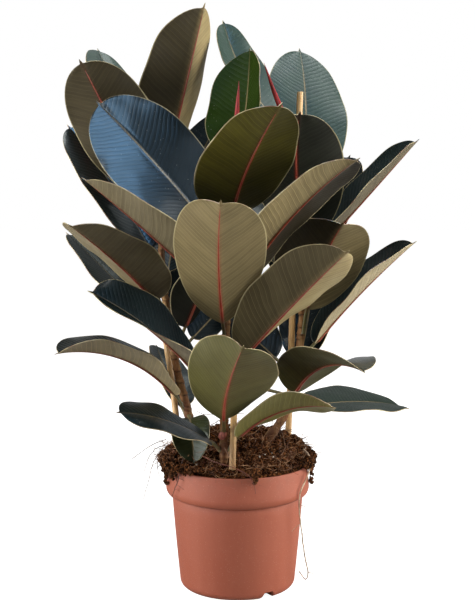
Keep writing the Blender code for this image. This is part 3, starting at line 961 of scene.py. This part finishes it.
def makeSheathSkin():
    material, tree, shader = newMaterial(
        "budRed", **{"Roughness": 0.5, "Specular IOR Level": 0.25})
    long = objectSpace(tree, (1, 1, 0.08))
    skin = useGrain(tree, long, 380.0, 1400.0)
    color = blendColor(tree, between(tree, skin["Both"], 0.35, 0.7), sheathLook["red"],
                       sheathLook["redDark"])
    share = painted(tree, "scar")
    part = colorParts(tree, share)
    color = blendColor(tree, between(tree, part[0], 0.12, 0.0), color, sheathLook["footGreen"])
    finishSkin(tree, shader, color, skin["Both"], 0.0004)
    return material


sheathSkin = makeSheathSkin()

for sheathName, (foot, tip) in sheathEnds.items():
    foot, tip = Vector(foot), Vector(tip)
    strand = []
    for k in range(49):
        share = k / 48
        thick = sheathLook["radius"] * (0.85 + 0.25 * min(share / 0.12, 1)) * (1 - share) ** 0.72
        strand.append((foot.lerp(tip, share), max(thick, 0.00025)))
    sheath = drawnStrands("budSheath_" + sheathName, [strand], corners=5)
    points = getPoints(sheath)
    axis = np.array(tip - foot)
    share = (points - np.array(foot)) @ axis / (axis @ axis)
    centre = np.array(foot) + share[:, None] * axis
    out = points - centre
    turn = turnsOf(out)
    fold = 1 + 0.10 * np.cos(turn - share * 5.0) + 0.06 * np.sin(turn * 3 + share * 9)
    setPoints(sheath, centre + out * fold[:, None])
    paintPoints(sheath, "scar", np.stack([share, share, share], -1).clip(0, 1))
    finishPiece(sheath, sheathSkin, 60, "red_bud", "sheath_" + sheathName)


def makeFootBud():
    clearSelection()
    bpy.ops.mesh.primitive_uv_sphere_add(segments=40, ring_count=28, radius=1)
    bud = newPiece("budFoot")
    points = getPoints(bud)
    turn = turnsOf(points)
    pointed = 1 - 0.35 * np.clip(points[:, 2], 0, 1) ** 2
    ribbed = 1 + 0.07 * np.sin(turn * 9) + 0.12 * softNoise(points * 2.2, 5.0)
    points[:, :2] *= (pointed * ribbed)[:, None]
    points = points * np.array((0.0058, 0.0050, 0.0072))
    points[:, 0] += points[:, 2] * 0.25
    setPoints(bud, points + np.array((-0.0205, -0.0765, 0.2385)))
    paintPoints(bud, "scar", np.full((len(points), 3), 0.5))
    material, tree, shader = newMaterial("budPink", **{"Roughness": 0.5})
    space = objectSpace(tree, (1, 1, 0.3))
    skin = useGrain(tree, space, 320.0, 1300.0)
    color = blendColor(tree, between(tree, skin["Cloud"], 0.4, 0.62), sheathLook["pink"],
                       sheathLook["pinkDark"])
    finishSkin(tree, shader, color, skin["Both"], 0.0006)
    finishPiece(bud, material, 60, "red_bud")


makeFootBud()
print("bud sheaths made")


potSize = {
    "height": 0.182,
    "rimTop": 0.1025,
    "rim": 0.105,
    "collarDrop": 0.045,
    "bodyTop": 0.0955,
    "bodyFoot": 0.0845,
    "floor": 0.073,
    "wall": 0.0025,
    "notchAngles": (-58, 122),
    "notchTop": 0.014,
    "notchFoot": 0.024,
    "notchHeight": 0.011,
    "sides": 180,
}
potLook = {
    "clay": (0.295, 0.065, 0.027),
    "clayPale": (0.322, 0.080, 0.037),
    "dustDark": (0.10, 0.045, 0.025),
}


def makePotSkin():
    material, tree, shader = newMaterial(
        "potPlastic", **{"Roughness": 0.5, "Specular IOR Level": 0.5})
    space = objectSpace(tree)
    flow = objectSpace(tree, (1, 1, 0.35))
    cloud = useGrain(tree, flow, 14.0, 260.0)
    grit = useGrain(tree, space, 90.0, 1500.0)
    color = blendColor(tree, between(tree, cloud["Both"], 0.35, 0.65), potLook["clay"],
                       potLook["clayPale"])
    color = blendColor(tree, between(tree, grit["Grit"], 0.4, 0.62, 0.0, 0.22), color,
                       (0.17, 0.036, 0.016))
    pale = useSpecks(tree, space, 420.0, 0.28, 0.22)
    color = tint(tree, color, pale, 0.28, (0.62, 0.36, 0.25))
    dark = useSpecks(tree, space, 230.0, 0.13, 0.4)
    color = tint(tree, color, dark, 0.8, potLook["dustDark"])
    high = heightOf(tree, space)
    rimSoil = times(tree, between(tree, high, 0.150, 0.186), between(
        tree, grit["Cloud"], 0.42, 0.62))
    color = tint(tree, color, rimSoil, 0.22, (0.16, 0.065, 0.035))
    tree.links.new(between(tree, cloud["Both"], 0.3, 0.7, 0.48, 0.64), shader.inputs["Roughness"])
    height = plus(tree, grit["Grit"], times(tree, grit["Cloud"], 0.6))
    finishSkin(tree, shader, color, height, 0.00035)
    return material


def arcSteps(centreRadius, centreHeight, wide, tall, first, last, steps):
    turns = [math.radians(first + (last - first) * k / steps) for k in range(steps + 1)]
    return [(centreRadius + wide * math.cos(t), centreHeight + tall * math.sin(t)) for t in turns]


def innerRadius(height):
    share = (height - potSize["wall"]) / (potSize["height"] - potSize["collarDrop"])
    collarFoot = potSize["height"] - potSize["collarDrop"]
    body = potSize["bodyFoot"] + (potSize["bodyTop"] - potSize["bodyFoot"]) * min(share, 1.0)
    if height < collarFoot:
        return body - potSize["wall"]
    grow = min((height - collarFoot) / 0.012, 1.0)
    rim = potSize["rimTop"] - 2 * 0.0015
    return (potSize["bodyTop"] - potSize["wall"]) * (1 - grow) + rim * grow


def makePot():
    size = potSize
    collarFoot = size["height"] - size["collarDrop"]
    foot = size["bodyFoot"] - size["floor"]
    profile = [(0.018, 0.0008), (0.024, 0.0), (size["floor"] - 0.002, 0.0)]
    profile += arcSteps(size["floor"], foot, foot, foot, -90, 0, 12)
    for k in range(1, 9):
        share = k / 9
        belly = 0.0004 * math.sin(share * math.pi)
        profile.append((size["bodyFoot"] + (size["bodyTop"] - size["bodyFoot"]) * share + belly,
                        foot + (collarFoot - 0.004 - foot) * share))
    for outward, below in ((0.0, 0.0022), (-0.0004, 0.0010), (0.0008, 0.0002)):
        profile.append((size["bodyTop"] + outward, collarFoot - below))
    profile += arcSteps(size["rim"] - 0.008, collarFoot + 0.012, 0.0078, 0.0115, -72, 0, 10)
    for k in range(1, 5):
        share = k / 5
        profile.append((size["rim"] + (size["rimTop"] - size["rim"]) * share,
                        collarFoot + 0.012 + (size["collarDrop"] - 0.0155) * share))
    profile += arcSteps(size["rimTop"] - 0.0015, size["height"] - 0.0016, 0.0016, 0.0016, 0, 180, 8)
    for z in (0.172, 0.160, 0.150, 0.144, 0.138, 0.132, 0.10, 0.07, 0.04, 0.02, foot):
        profile.append((innerRadius(z), z))
    profile += [(size["floor"] - 0.001, 0.0048), (size["floor"] - 0.006, 0.0032), (0.02, 0.0028)]
    pot = turnedPiece("potShell", profile, size["sides"])
    for number, angle in enumerate(size["notchAngles"]):
        # a cutter with sloping ends for the drain notch at the foot
        clearSelection()
        reach = (size["floor"] + size["bodyFoot"]) / 2 + 0.0025
        bpy.ops.mesh.primitive_cube_add(
            size=1, location=(reach, 0, size["notchHeight"] / 2 - 0.001))
        cutter = newPiece(f"notchCutter{number}")
        cutter.scale = (0.042, size["notchFoot"] + 0.001, size["notchHeight"] + 0.002)
        applyPlace(cutter)
        bpy.ops.object.mode_set(mode="EDIT")
        bpy.ops.mesh.select_all(action="DESELECT")
        bpy.ops.object.mode_set(mode="OBJECT")
        for vert in cutter.data.vertices:
            vert.select = vert.co.z > size["notchHeight"] / 2
        bpy.ops.object.mode_set(mode="EDIT")
        ratio = size["notchTop"] / (size["notchFoot"] + 0.001)
        bpy.ops.transform.resize(
            value=(1, ratio, 1), center_override=(reach, 0, size["notchHeight"]))
        bpy.ops.mesh.select_all(action="SELECT")
        bpy.ops.mesh.bevel(offset=0.0012, segments=3, affect="EDGES")
        bpy.ops.object.mode_set(mode="OBJECT")
        cutter.matrix_world = Matrix.Rotation(math.radians(angle), 4, "Z")
        applyPlace(cutter)
        applyModifier(
            pot, "notch", "BOOLEAN", object=cutter, operation="DIFFERENCE", solver="EXACT")
        bpy.data.objects.remove(cutter)
    finishPiece(pot, makePotSkin(), 32, "pot_plastic", "pot")


makePot()
print("pot made")


soilSize = {
    "crown": 0.050,
    "spillRadius": 0.116,
    "sides": 300,
    "topRings": 88,
    "lumpHeight": 0.0042,
    "gritHeight": 0.0016,
    "crumbs": 2600,
    "crumbBatch": 1302,
    "spillClods": 1100,
    "spillTop": 0.194,
    "fibres": 1700,
    "perlite": 46,
    "chips": 60,
}
# angle, spread and depth of the places where the compost hangs over the rim
soilSpills = [
    (182, 8, 0.022), (197, 8, 0.036), (210, 8, 0.024), (226, 8, 0.013), (-8, 5, 0.043),
    (2, 10, 0.020), (18, 12, 0.014), (-22, 6, 0.012), (-77, 1.2, 0.017),
]
soilLook = {
    "peat": (0.020, 0.0085, 0.0030),
    "coir": (0.195, 0.073, 0.025),
    "shadow": (0.0035, 0.0018, 0.0010),
    "fibreTan": (0.36, 0.19, 0.085),
    "fibreRed": (0.23, 0.080, 0.030),
    "perliteWhite": (0.72, 0.70, 0.65),
}


def makeSoilSkin(name, dark, mid, light):
    material, tree, shader = newMaterial(name, **{"Roughness": 0.92, "Specular IOR Level": 0.03})
    space = objectSpace(tree)
    lumps = useGrain(tree, space, 85.0, 700.0)
    fine = useGrain(tree, space, 320.0, 1800.0)
    color = blendColor(tree, between(tree, lumps["Both"], 0.42, 0.54), dark, mid)
    color = blendColor(tree, between(tree, fine["Cloud"], 0.48, 0.66, 0.0, 0.85), color, light)
    bits = useSpecks(tree, space, 480.0, 0.3, 0.18)
    color = tint(tree, color, bits, 0.5, light)
    height = plus(tree, fine["Both"], lumps["Both"])
    finishSkin(tree, shader, color, height, 0.0012)
    return material


def spillShare(turn):
    return np.clip((np.cos(turn - math.radians(110)) + 0.4) / 0.35, 0.0, 1.0)


def moundPoint(share, turn):
    # a point on the mound's surface, from the crown (0) to its edge (1), before its lumps
    spill = spillShare(turn)
    inside = innerRadius(potSize["height"]) - 0.002
    edge = inside + (soilSize["spillRadius"] - inside) * spill
    edgeHeight = potSize["height"] + 0.002 * (1 - spill) + 0.006 * spill
    rise = soilSize["crown"] - (edgeHeight - potSize["height"])
    lean = 0.5 + 0.5 * spill
    height = edgeHeight + rise * (1 - share ** 2.2) * (lean + (1 - lean) * (1 - share))
    height = height + 0.007 * np.exp(-((turn - 0.35) / 0.7) ** 2 - ((share - 0.76) / 0.24) ** 2)
    radius = edge * share
    return np.stack([radius * np.cos(turn), radius * np.sin(turn), height + 0 * radius], -1)


def moundLumps(points):
    coarse = softNoise(points * 34, 4.0) * soilSize["lumpHeight"]
    middle = softNoise(points * 95, 11.0) * soilSize["lumpHeight"] * 0.5
    grit = softNoise(points * 330, 23.0) * soilSize["gritHeight"]
    return coarse + middle + grit


def makeMound():
    rings = soilSize["topRings"]
    core = 11
    total = core + rings
    profile = [(1.0, k / total) for k in range(total + 1)]
    mound = turnedPiece("soilMound", profile, soilSize["sides"])
    points = getPoints(mound)
    index = np.rint(points[:, 2] * total).astype(int)
    turn = turnsOf(points)
    inside = innerRadius(potSize["height"]) - 0.0022
    coreProfile = [(0.064, 0.0052), (0.066, 0.006), (0.074, 0.014)]
    levels = (0.03, 0.07, 0.11, 0.136, 0.15, 0.168, 0.1795)
    coreProfile += [(innerRadius(z) - 0.0016, z) for z in levels]
    placed = np.zeros_like(points)
    for k, (radius, z) in enumerate(coreProfile):
        chosen = index == k
        placed[chosen] = np.stack([
            radius * np.cos(turn[chosen]), radius * np.sin(turn[chosen]), 0 * turn[chosen] + z], -1)
    # the skirt that lies just over the rim
    chosen = index == core - 1
    spill = spillShare(turn[chosen])
    radius = inside + (soilSize["spillRadius"] - 0.0035 - inside) * spill
    placed[chosen] = np.stack([
        radius * np.cos(turn[chosen]), radius * np.sin(turn[chosen]),
        0 * radius + potSize["height"] + 0.0009], -1)
    top = index >= core
    share = 1 - (index[top] - core) / rings
    share = np.clip(share, 0.004, 1)
    surface = moundPoint(share, turn[top])
    lumps = moundLumps(surface)
    fade = np.clip((1.0 - share) / 0.05, 0.15, 1)
    surface[:, 2] += lumps * fade
    edge = np.clip((share - 0.86) / 0.14, 0, 1)[:, None] * spillShare(turn[top])[:, None]
    reach = np.linalg.norm(surface[:, :2], axis=1, keepdims=True)
    outward = surface[:, :2] / np.maximum(reach, 1e-6)
    ragged = softNoise(surface * 62, 31.0)[:, None] * 0.0042
    ragged = ragged + softNoise(surface * 190, 37.0)[:, None] * 0.0016
    surface[:, :2] += outward * ragged * edge
    placed[top] = surface
    setPoints(mound, placed)
    skin = makeSoilSkin("compostBody", soilLook["shadow"], soilLook["peat"], soilLook["coir"])
    finishPiece(mound, skin, 75, "compost", "soil")


def scatterSpot(dice, edgeBias=0.0):
    # a place on the mound, thicker towards the left, right and back rim
    while True:
        share = math.sqrt(dice.random()) if dice.random() > edgeBias else 0.80 + 0.2 * dice.random()
        turn = dice.uniform(-math.pi, math.pi)
        if dice.random() < 0.35 + 0.65 * float(spillShare(np.array(turn))) or share < 0.86:
            break
    surface = moundPoint(np.array([min(share, 0.985)]), np.array([turn]))
    surface[:, 2] += moundLumps(surface) * np.clip((1.0 - share) / 0.05, 0.15, 1)
    return surface[0], share, turn


def pebbleShape(detail, seed):
    clearSelection()
    bpy.ops.mesh.primitive_ico_sphere_add(subdivisions=detail, radius=1.0)
    pebble = newPiece("pebble")
    points = getPoints(pebble)
    points *= (1 + 0.42 * softNoise(points * 1.3, seed))[:, None]
    points *= (1 + 0.16 * softNoise(points * 3.1, seed + 5))[:, None]
    faces = [tuple(face.vertices) for face in pebble.data.polygons]
    bpy.data.objects.remove(pebble)
    return points, faces


def scatteredPiece(name, spots, shapes, material):
    # copies of a few pebble shapes, each turned and sized, in one mesh
    allPoints, allFaces = [], []
    count = 0
    for k, (place, size, spin) in enumerate(spots):
        points, faces = shapes[k % len(shapes)]
        turned = (points * np.array(size)) @ np.array(spin).T + np.array(place)
        allPoints.append(turned)
        allFaces += [tuple(v + count for v in face) for face in faces]
        count += len(points)
    mesh = bpy.data.meshes.new(name)
    mesh.from_pydata(np.vstack(allPoints).tolist(), [], allFaces)
    piece = linkNew(name, mesh)
    finishPiece(piece, material, 60, "compost")


def randomSpin(dice):
    axis = Vector((dice.gauss(0, 1), dice.gauss(0, 1), dice.gauss(0, 1))).normalized()
    return Matrix.Rotation(dice.uniform(0, math.tau), 3, axis)


def makeCrumbs():
    dice = random.Random(31)
    shapes = [pebbleShape(2, seed * 9.7) for seed in range(7)]
    spots = []
    for _ in range(soilSize["crumbs"]):
        place = scatterSpot(dice, 0.35)[0]
        size = 0.0009 + 0.0036 * dice.random() ** 2.6
        place[2] += size * 0.35
        sides = (size, size * dice.uniform(0.6, 1), size * dice.uniform(0.5, 0.9))
        spots.append((place, sides, randomSpin(dice)))
    # clods that hang over the rim on both sides, most of them matted together
    for _ in range(soilSize["spillClods"]):
        angle, spread, deep = dice.choice(soilSpills)
        lean = dice.gauss(0, 1)
        turn = math.radians(angle + spread * lean)
        drop = deep * dice.random() ** 1.3 * math.exp(-lean * lean * 0.5)
        reach = 0.010 * dice.random() * (1 - 0.7 * drop / deep) * (1 - 0.5 * min(abs(lean) / 2, 1))
        radius = potSize["rim"] + 0.0012 + reach
        size = 0.0010 + 0.0030 * dice.random() ** 2
        level = soilSize["spillTop"] - drop + dice.uniform(-0.002, 0.003)
        place = (radius * math.cos(turn), radius * math.sin(turn), level)
        spots.append((place, (size, size * 0.8, size * 0.8), randomSpin(dice)))
    skin = makeSoilSkin("compostCrumb", soilLook["shadow"], (0.048, 0.021, 0.010), soilLook["coir"])
    batch = soilSize["crumbBatch"]
    for number, first in enumerate(range(0, len(spots), batch), 1):
        scatteredPiece(f"soilCrumbs_{number}", spots[first:first + batch], shapes, skin)


def makeChips():
    dice = random.Random(47)
    shapes = [pebbleShape(2, 60 + seed * 4.3) for seed in range(4)]
    spots = []
    for _ in range(soilSize["chips"]):
        place = scatterSpot(dice, 0.2)[0]
        size = dice.uniform(0.0028, 0.0058)
        place[2] += 0.0010
        tilt = Matrix.Rotation(dice.uniform(-0.5, 0.5), 3, "X")
        tilt = tilt @ Matrix.Rotation(dice.uniform(0, 6.28), 3, "Z")
        spots.append((place, (size, size * 0.42, size * 0.2), tilt))
    skin = makeSoilSkin("barkChip", (0.05, 0.022, 0.012), (0.15, 0.065, 0.03), (0.30, 0.17, 0.09))
    scatteredPiece("barkChips", spots, shapes, skin)


def makePerlite():
    dice = random.Random(53)
    shapes = [pebbleShape(2, 90 + seed * 3.1) for seed in range(4)]
    spots = []
    for _ in range(soilSize["perlite"]):
        place = scatterSpot(dice, 0.3)[0]
        size = dice.uniform(0.0007, 0.0017)
        place[2] += size * 0.5
        spots.append((place, (size, size * 0.9, size * 0.8), randomSpin(dice)))
    material, tree, shader = newMaterial("perlite", **{"Roughness": 0.85})
    space = objectSpace(tree)
    fine = useGrain(tree, space, 500.0, 2500.0)
    color = blendColor(tree, between(tree, fine["Both"], 0.4, 0.65), soilLook["perliteWhite"],
                       (0.40, 0.33, 0.26))
    finishSkin(tree, shader, color, fine["Both"], 0.0006)
    scatteredPiece("perliteGrains", spots, shapes, material)


def makeFibreSkin(name, pale, dark):
    material, tree, shader = newMaterial(name, **{"Roughness": 0.7})
    space = objectSpace(tree)
    cloud = useGrain(tree, space, 130.0, 1200.0)
    color = blendColor(tree, between(tree, cloud["Cloud"], 0.38, 0.62), pale, dark)
    finishSkin(tree, shader, color, cloud["Grit"], 0.0003)
    return material


def makeFibres():
    dice = random.Random(71)
    outside = potSize["rim"] + 0.0008
    strands = []
    for _ in range(soilSize["fibres"]):
        place, share, turn = scatterSpot(dice, 0.5)
        length = dice.uniform(0.006, 0.026)
        outward = Vector((math.cos(turn), math.sin(turn), 0))
        spill = float(spillShare(np.array(turn)))
        heading = Vector((dice.gauss(0, 1), dice.gauss(0, 1), dice.gauss(0, 0.35)))
        if share > 0.86 and spill > 0.5:
            heading = heading * 0.6 + outward * dice.uniform(0.3, 1.6)
            heading += Vector((0, 0, dice.uniform(-1.6, 0.3)))
        heading.normalize()
        bendAxis = Vector((dice.gauss(0, 1), dice.gauss(0, 1), dice.gauss(0, 1))).normalized()
        bend = dice.uniform(-2.4, 2.4)
        spot = Vector(place) + Vector((0, 0, 0.0008))
        strand = []
        thick = dice.uniform(0.00018, 0.00058)
        for step in range(7):
            strand.append((tuple(spot), thick * (1 - 0.5 * step / 6)))
            heading = Matrix.Rotation(bend / 6, 3, bendAxis) @ heading
            spot = spot + heading * length / 6
            floorHeight = 0.0 if spot.xy.length > 0.104 else place[2] - 0.002
            spot.z = max(spot.z, floorHeight)
            besideCollar = potSize["height"] - 0.05 < spot.z < potSize["height"]
            if besideCollar and spot.xy.length < outside:
                spot.xy = spot.xy.normalized() * outside
        strands.append(strand)
    half = len(strands) // 2
    for name, chosen, pale, dark in (
            ("coirFibresTan", strands[:half], soilLook["fibreTan"], (0.17, 0.08, 0.035)),
            ("coirFibresRed", strands[half:], soilLook["fibreRed"], (0.06, 0.025, 0.012))):
        fibres = drawnStrands(name, chosen, corners=0)
        finishPiece(fibres, makeFibreSkin(name + "Skin", pale, dark), 80, "compost")


def makeWireBits():
    # dried stipules and thin roots caught between the stem and the compost, in millimetres
    bits = [
        [(-20, -72, 262), (-34, -68, 266), (-47, -60, 265), (-58, -55, 268)],
        [(-47, -60, 265), (-52, -61, 259), (-55, -60, 258)],
        [(-26, -71, 258), (-34, -66, 252), (-41, -62, 249)],
        [(-4, -80, 268), (4, -82, 270), (12, -80, 268)],
        [(58, -20, 225), (56, -30, 240), (61, -38, 232), (60, -44, 205)],
        [(52, -30, 222), (62, -36, 236), (68, -40, 214), (62, -50, 204)],
        [(-20, -72, 214), (-32, -82, 220), (-47, -80, 216), (-60, -74, 212)],
        [(-18, -85, 222), (-12, -92, 212), (-6, -96, 200), (-2, -100, 196)],
        [(-105, -20, 212), (-117, -26, 208), (-128, -32, 196), (-134, -35, 176)],
        [(-107, -30, 208), (-113, -40, 196), (-114, -44, 180), (-106, -50, 166)],
        [(-110, -30, 205), (-121, -40, 190), (-127, -44, 166), (-135, -46, 138)],
    ]
    strands = []
    for route in bits:
        line = softRoute([[value / 1000 for value in point] for point in route], 10)
        strand = []
        for n, spot in enumerate(line):
            wobble = Vector((noise.noise(spot * 160), 0, noise.noise(spot * 190))) * 0.0007
            strand.append((tuple(spot + wobble), 0.00055 * (1 - 0.5 * n / len(line))))
        strands.append(strand)
    wires = drawnStrands("driedWires", strands, corners=1)
    skin = makeFibreSkin("driedWireSkin", (0.20, 0.10, 0.05), (0.045, 0.02, 0.012))
    finishPiece(wires, skin, 80, "compost")


makeMound()
makeWireBits()
makeCrumbs()
makeChips()
makePerlite()
makeFibres()
print("soil made")


rootRoutes = {
    "root_long": [
        (0.096, -0.016, 0.205), (0.1035, -0.026, 0.196), (0.1035, -0.036, 0.180),
        (0.097, -0.050, 0.167), (0.089, -0.061, 0.152), (0.088, -0.060, 0.128),
        (0.091, -0.056, 0.099), (0.097, -0.046, 0.055), (0.102, -0.036, 0.027),
        (0.0985, -0.031, 0.016), (0.089, -0.030, 0.028),
    ],
    "root_front": [
        (-0.050, -0.074, 0.208), (-0.030, -0.090, 0.203), (-0.006, -0.098, 0.197),
        (0.014, -0.105, 0.189), (0.022, -0.1085, 0.176), (0.025, -0.1095, 0.163),
    ],
    "root_rim": [
        (-0.075, -0.058, 0.205), (-0.081, -0.069, 0.188), (-0.084, -0.070, 0.172),
        (-0.089, -0.064, 0.158), (-0.093, -0.058, 0.146),
    ],
    "root_side": [
        (-0.104, -0.012, 0.218), (-0.118, -0.016, 0.214), (-0.132, -0.021, 0.207),
        (-0.152, -0.026, 0.193),
    ],
}
rootLook = {
    "root_long": (0.00130, (0.54, 0.43, 0.31), (0.31, 0.20, 0.125), 7),
    "root_front": (0.00065, (0.22, 0.06, 0.03), (0.10, 0.03, 0.018), 6),
    "root_rim": (0.0008, (0.05, 0.022, 0.014), (0.10, 0.045, 0.025), 5),
    "root_side": (0.0006, (0.10, 0.05, 0.03), (0.24, 0.15, 0.09), 6),
}


def makeRoots():
    for name, route in rootRoutes.items():
        radius, pale, dark, hairs = rootLook[name]
        dice = random.Random(len(name) * 13 + hairs)
        line = softRoute(route, 14)
        strand = []
        for k, spot in enumerate(line):
            wobble = noise.noise(spot * 90) * 0.0006
            thick = radius * (1 - 0.45 * k / len(line)) * (1 + 0.25 * noise.noise(spot * 300))
            strand.append((tuple(spot + Vector((wobble, 0, wobble))), thick))
        strands = [strand]
        for k in range(hairs):
            start = line[int(len(line) * (0.15 + 0.75 * k / hairs))]
            heading = Vector((dice.gauss(0, 1), dice.uniform(-1.0, 0.1), dice.uniform(-1.0, 0.2)))
            heading.normalize()
            reach = dice.uniform(0.008, 0.020)
            curl = Vector((dice.gauss(0, 0.4), dice.gauss(0, 0.2), -0.5))
            hair = []
            for step in range(8):
                share = step / 7
                spot = start + heading * reach * share + curl * reach * share * share * 0.5
                hair.append((tuple(spot), radius * 0.38 * (1 - 0.6 * share)))
            strands.append(hair)
        root = drawnStrands(name.replace("root_", "rootStrand_"), strands, corners=2)
        finishPiece(root, makeFibreSkin(name + "Skin", pale, dark), 80, "root_brown", name)


makeRoots()
print("roots made")


def makeStudio():
    clearSelection()
    bpy.ops.mesh.primitive_plane_add(size=30, location=(0, 0, -0.0002))
    floor = newPiece("studioFloor")
    material, tree, shader = newMaterial(
        "floorPale", **{"Roughness": 0.9, "Specular IOR Level": 0.1})
    space = objectSpace(tree)
    cloud = grainNoise(tree, space, 0.6, 2.0)
    tree.links.new(blendColor(tree, cloud, (0.42, 0.42, 0.42), (0.45, 0.45, 0.45)),
                   shader.inputs["Base Color"])
    seen = addNode(tree, "ShaderNodeLightPath").outputs["Is Camera Ray"]
    tree.links.new(blendColor(tree, seen, (0.0, 0.0, 0.0), (0.97, 0.97, 0.97)),
                   shader.inputs["Emission Color"])
    shader.inputs["Emission Strength"].default_value = 1.0
    dress(floor, material)

    lights = {
        "softLeft": ((-1.9, -0.3, 0.8), (0, 0, 0.40), 1.5, 60, (1.0, 0.98, 0.95), True),
        "softRight": ((1.9, -0.2, 0.8), (0, 0, 0.40), 1.5, 62, (1.0, 0.97, 0.93), True),
        "keyFront": ((0.5, -2.3, 2.2), (0, 0, 0.35), 1.0, 34, (1.0, 0.98, 0.94), True),
        "topRight": ((1.1, 0.25, 2.5), (0, 0, 0.6), 1.3, 14, (0.95, 0.98, 1.0), True),
        "backdrop": ((0.1, 2.4, 1.1), (0, 0, 0.5), 2.2, 5, (0.97, 0.99, 1.0), True),
        "windowLeft": ((-1.3, -1.6, 0.95), (0, 0, 0.65), 0.5, 12, (0.36, 0.66, 1.0), False),
        "windowHigh": ((0.15, -0.9, 2.1), (-0.13, 0, 0.68), 0.8, 27, (0.32, 0.63, 1.0), False),
        "stripHigh": ((-0.45, -1.1, 2.0), (-0.13, 0, 0.68), 0.25, 5, (1.0, 0.98, 0.90), False),
        "skyGlow": ((0.5, 0.8, 2.3), (-0.15, 0.1, 0.7), 1.0, 22, (0.95, 1.0, 0.95), False),
    }
    for name, (place, aim, size, power, color, matte) in lights.items():
        data = bpy.data.lights.new(name, "AREA")
        data.shape = "DISK"
        data.size = size
        data.energy = power
        data.color = color
        lamp = linkNew(name, data)
        lamp.location = place
        lamp.visible_diffuse = matte
        lamp.rotation_euler = (Vector(aim) - Vector(place)).to_track_quat("-Z", "Y").to_euler()

    world = bpy.data.worlds.new("studioWorld")
    bpy.context.scene.world = world
    world.use_nodes = True
    tree = world.node_tree
    ray = addNode(tree, "ShaderNodeLightPath").outputs["Is Camera Ray"]
    back = tree.nodes["Background"]
    sky = blendColor(tree, ray, (0.08, 0.083, 0.088), (1.0, 1.0, 1.0))
    tree.links.new(sky, back.inputs["Color"])
    bpy.context.scene.view_settings.view_transform = "Standard"

    data = bpy.data.cameras.new("studioCamera")
    camera = linkNew("studioCamera", data)
    camera.location = (0, -1.70, 0.58)
    camera.rotation_euler = (math.radians(90 - 5.35), 0, 0)
    data.sensor_width = 36
    data.lens = 1179 / 600 * 36
    data.clip_start = 0.05
    bpy.context.scene.camera = camera


makeStudio()
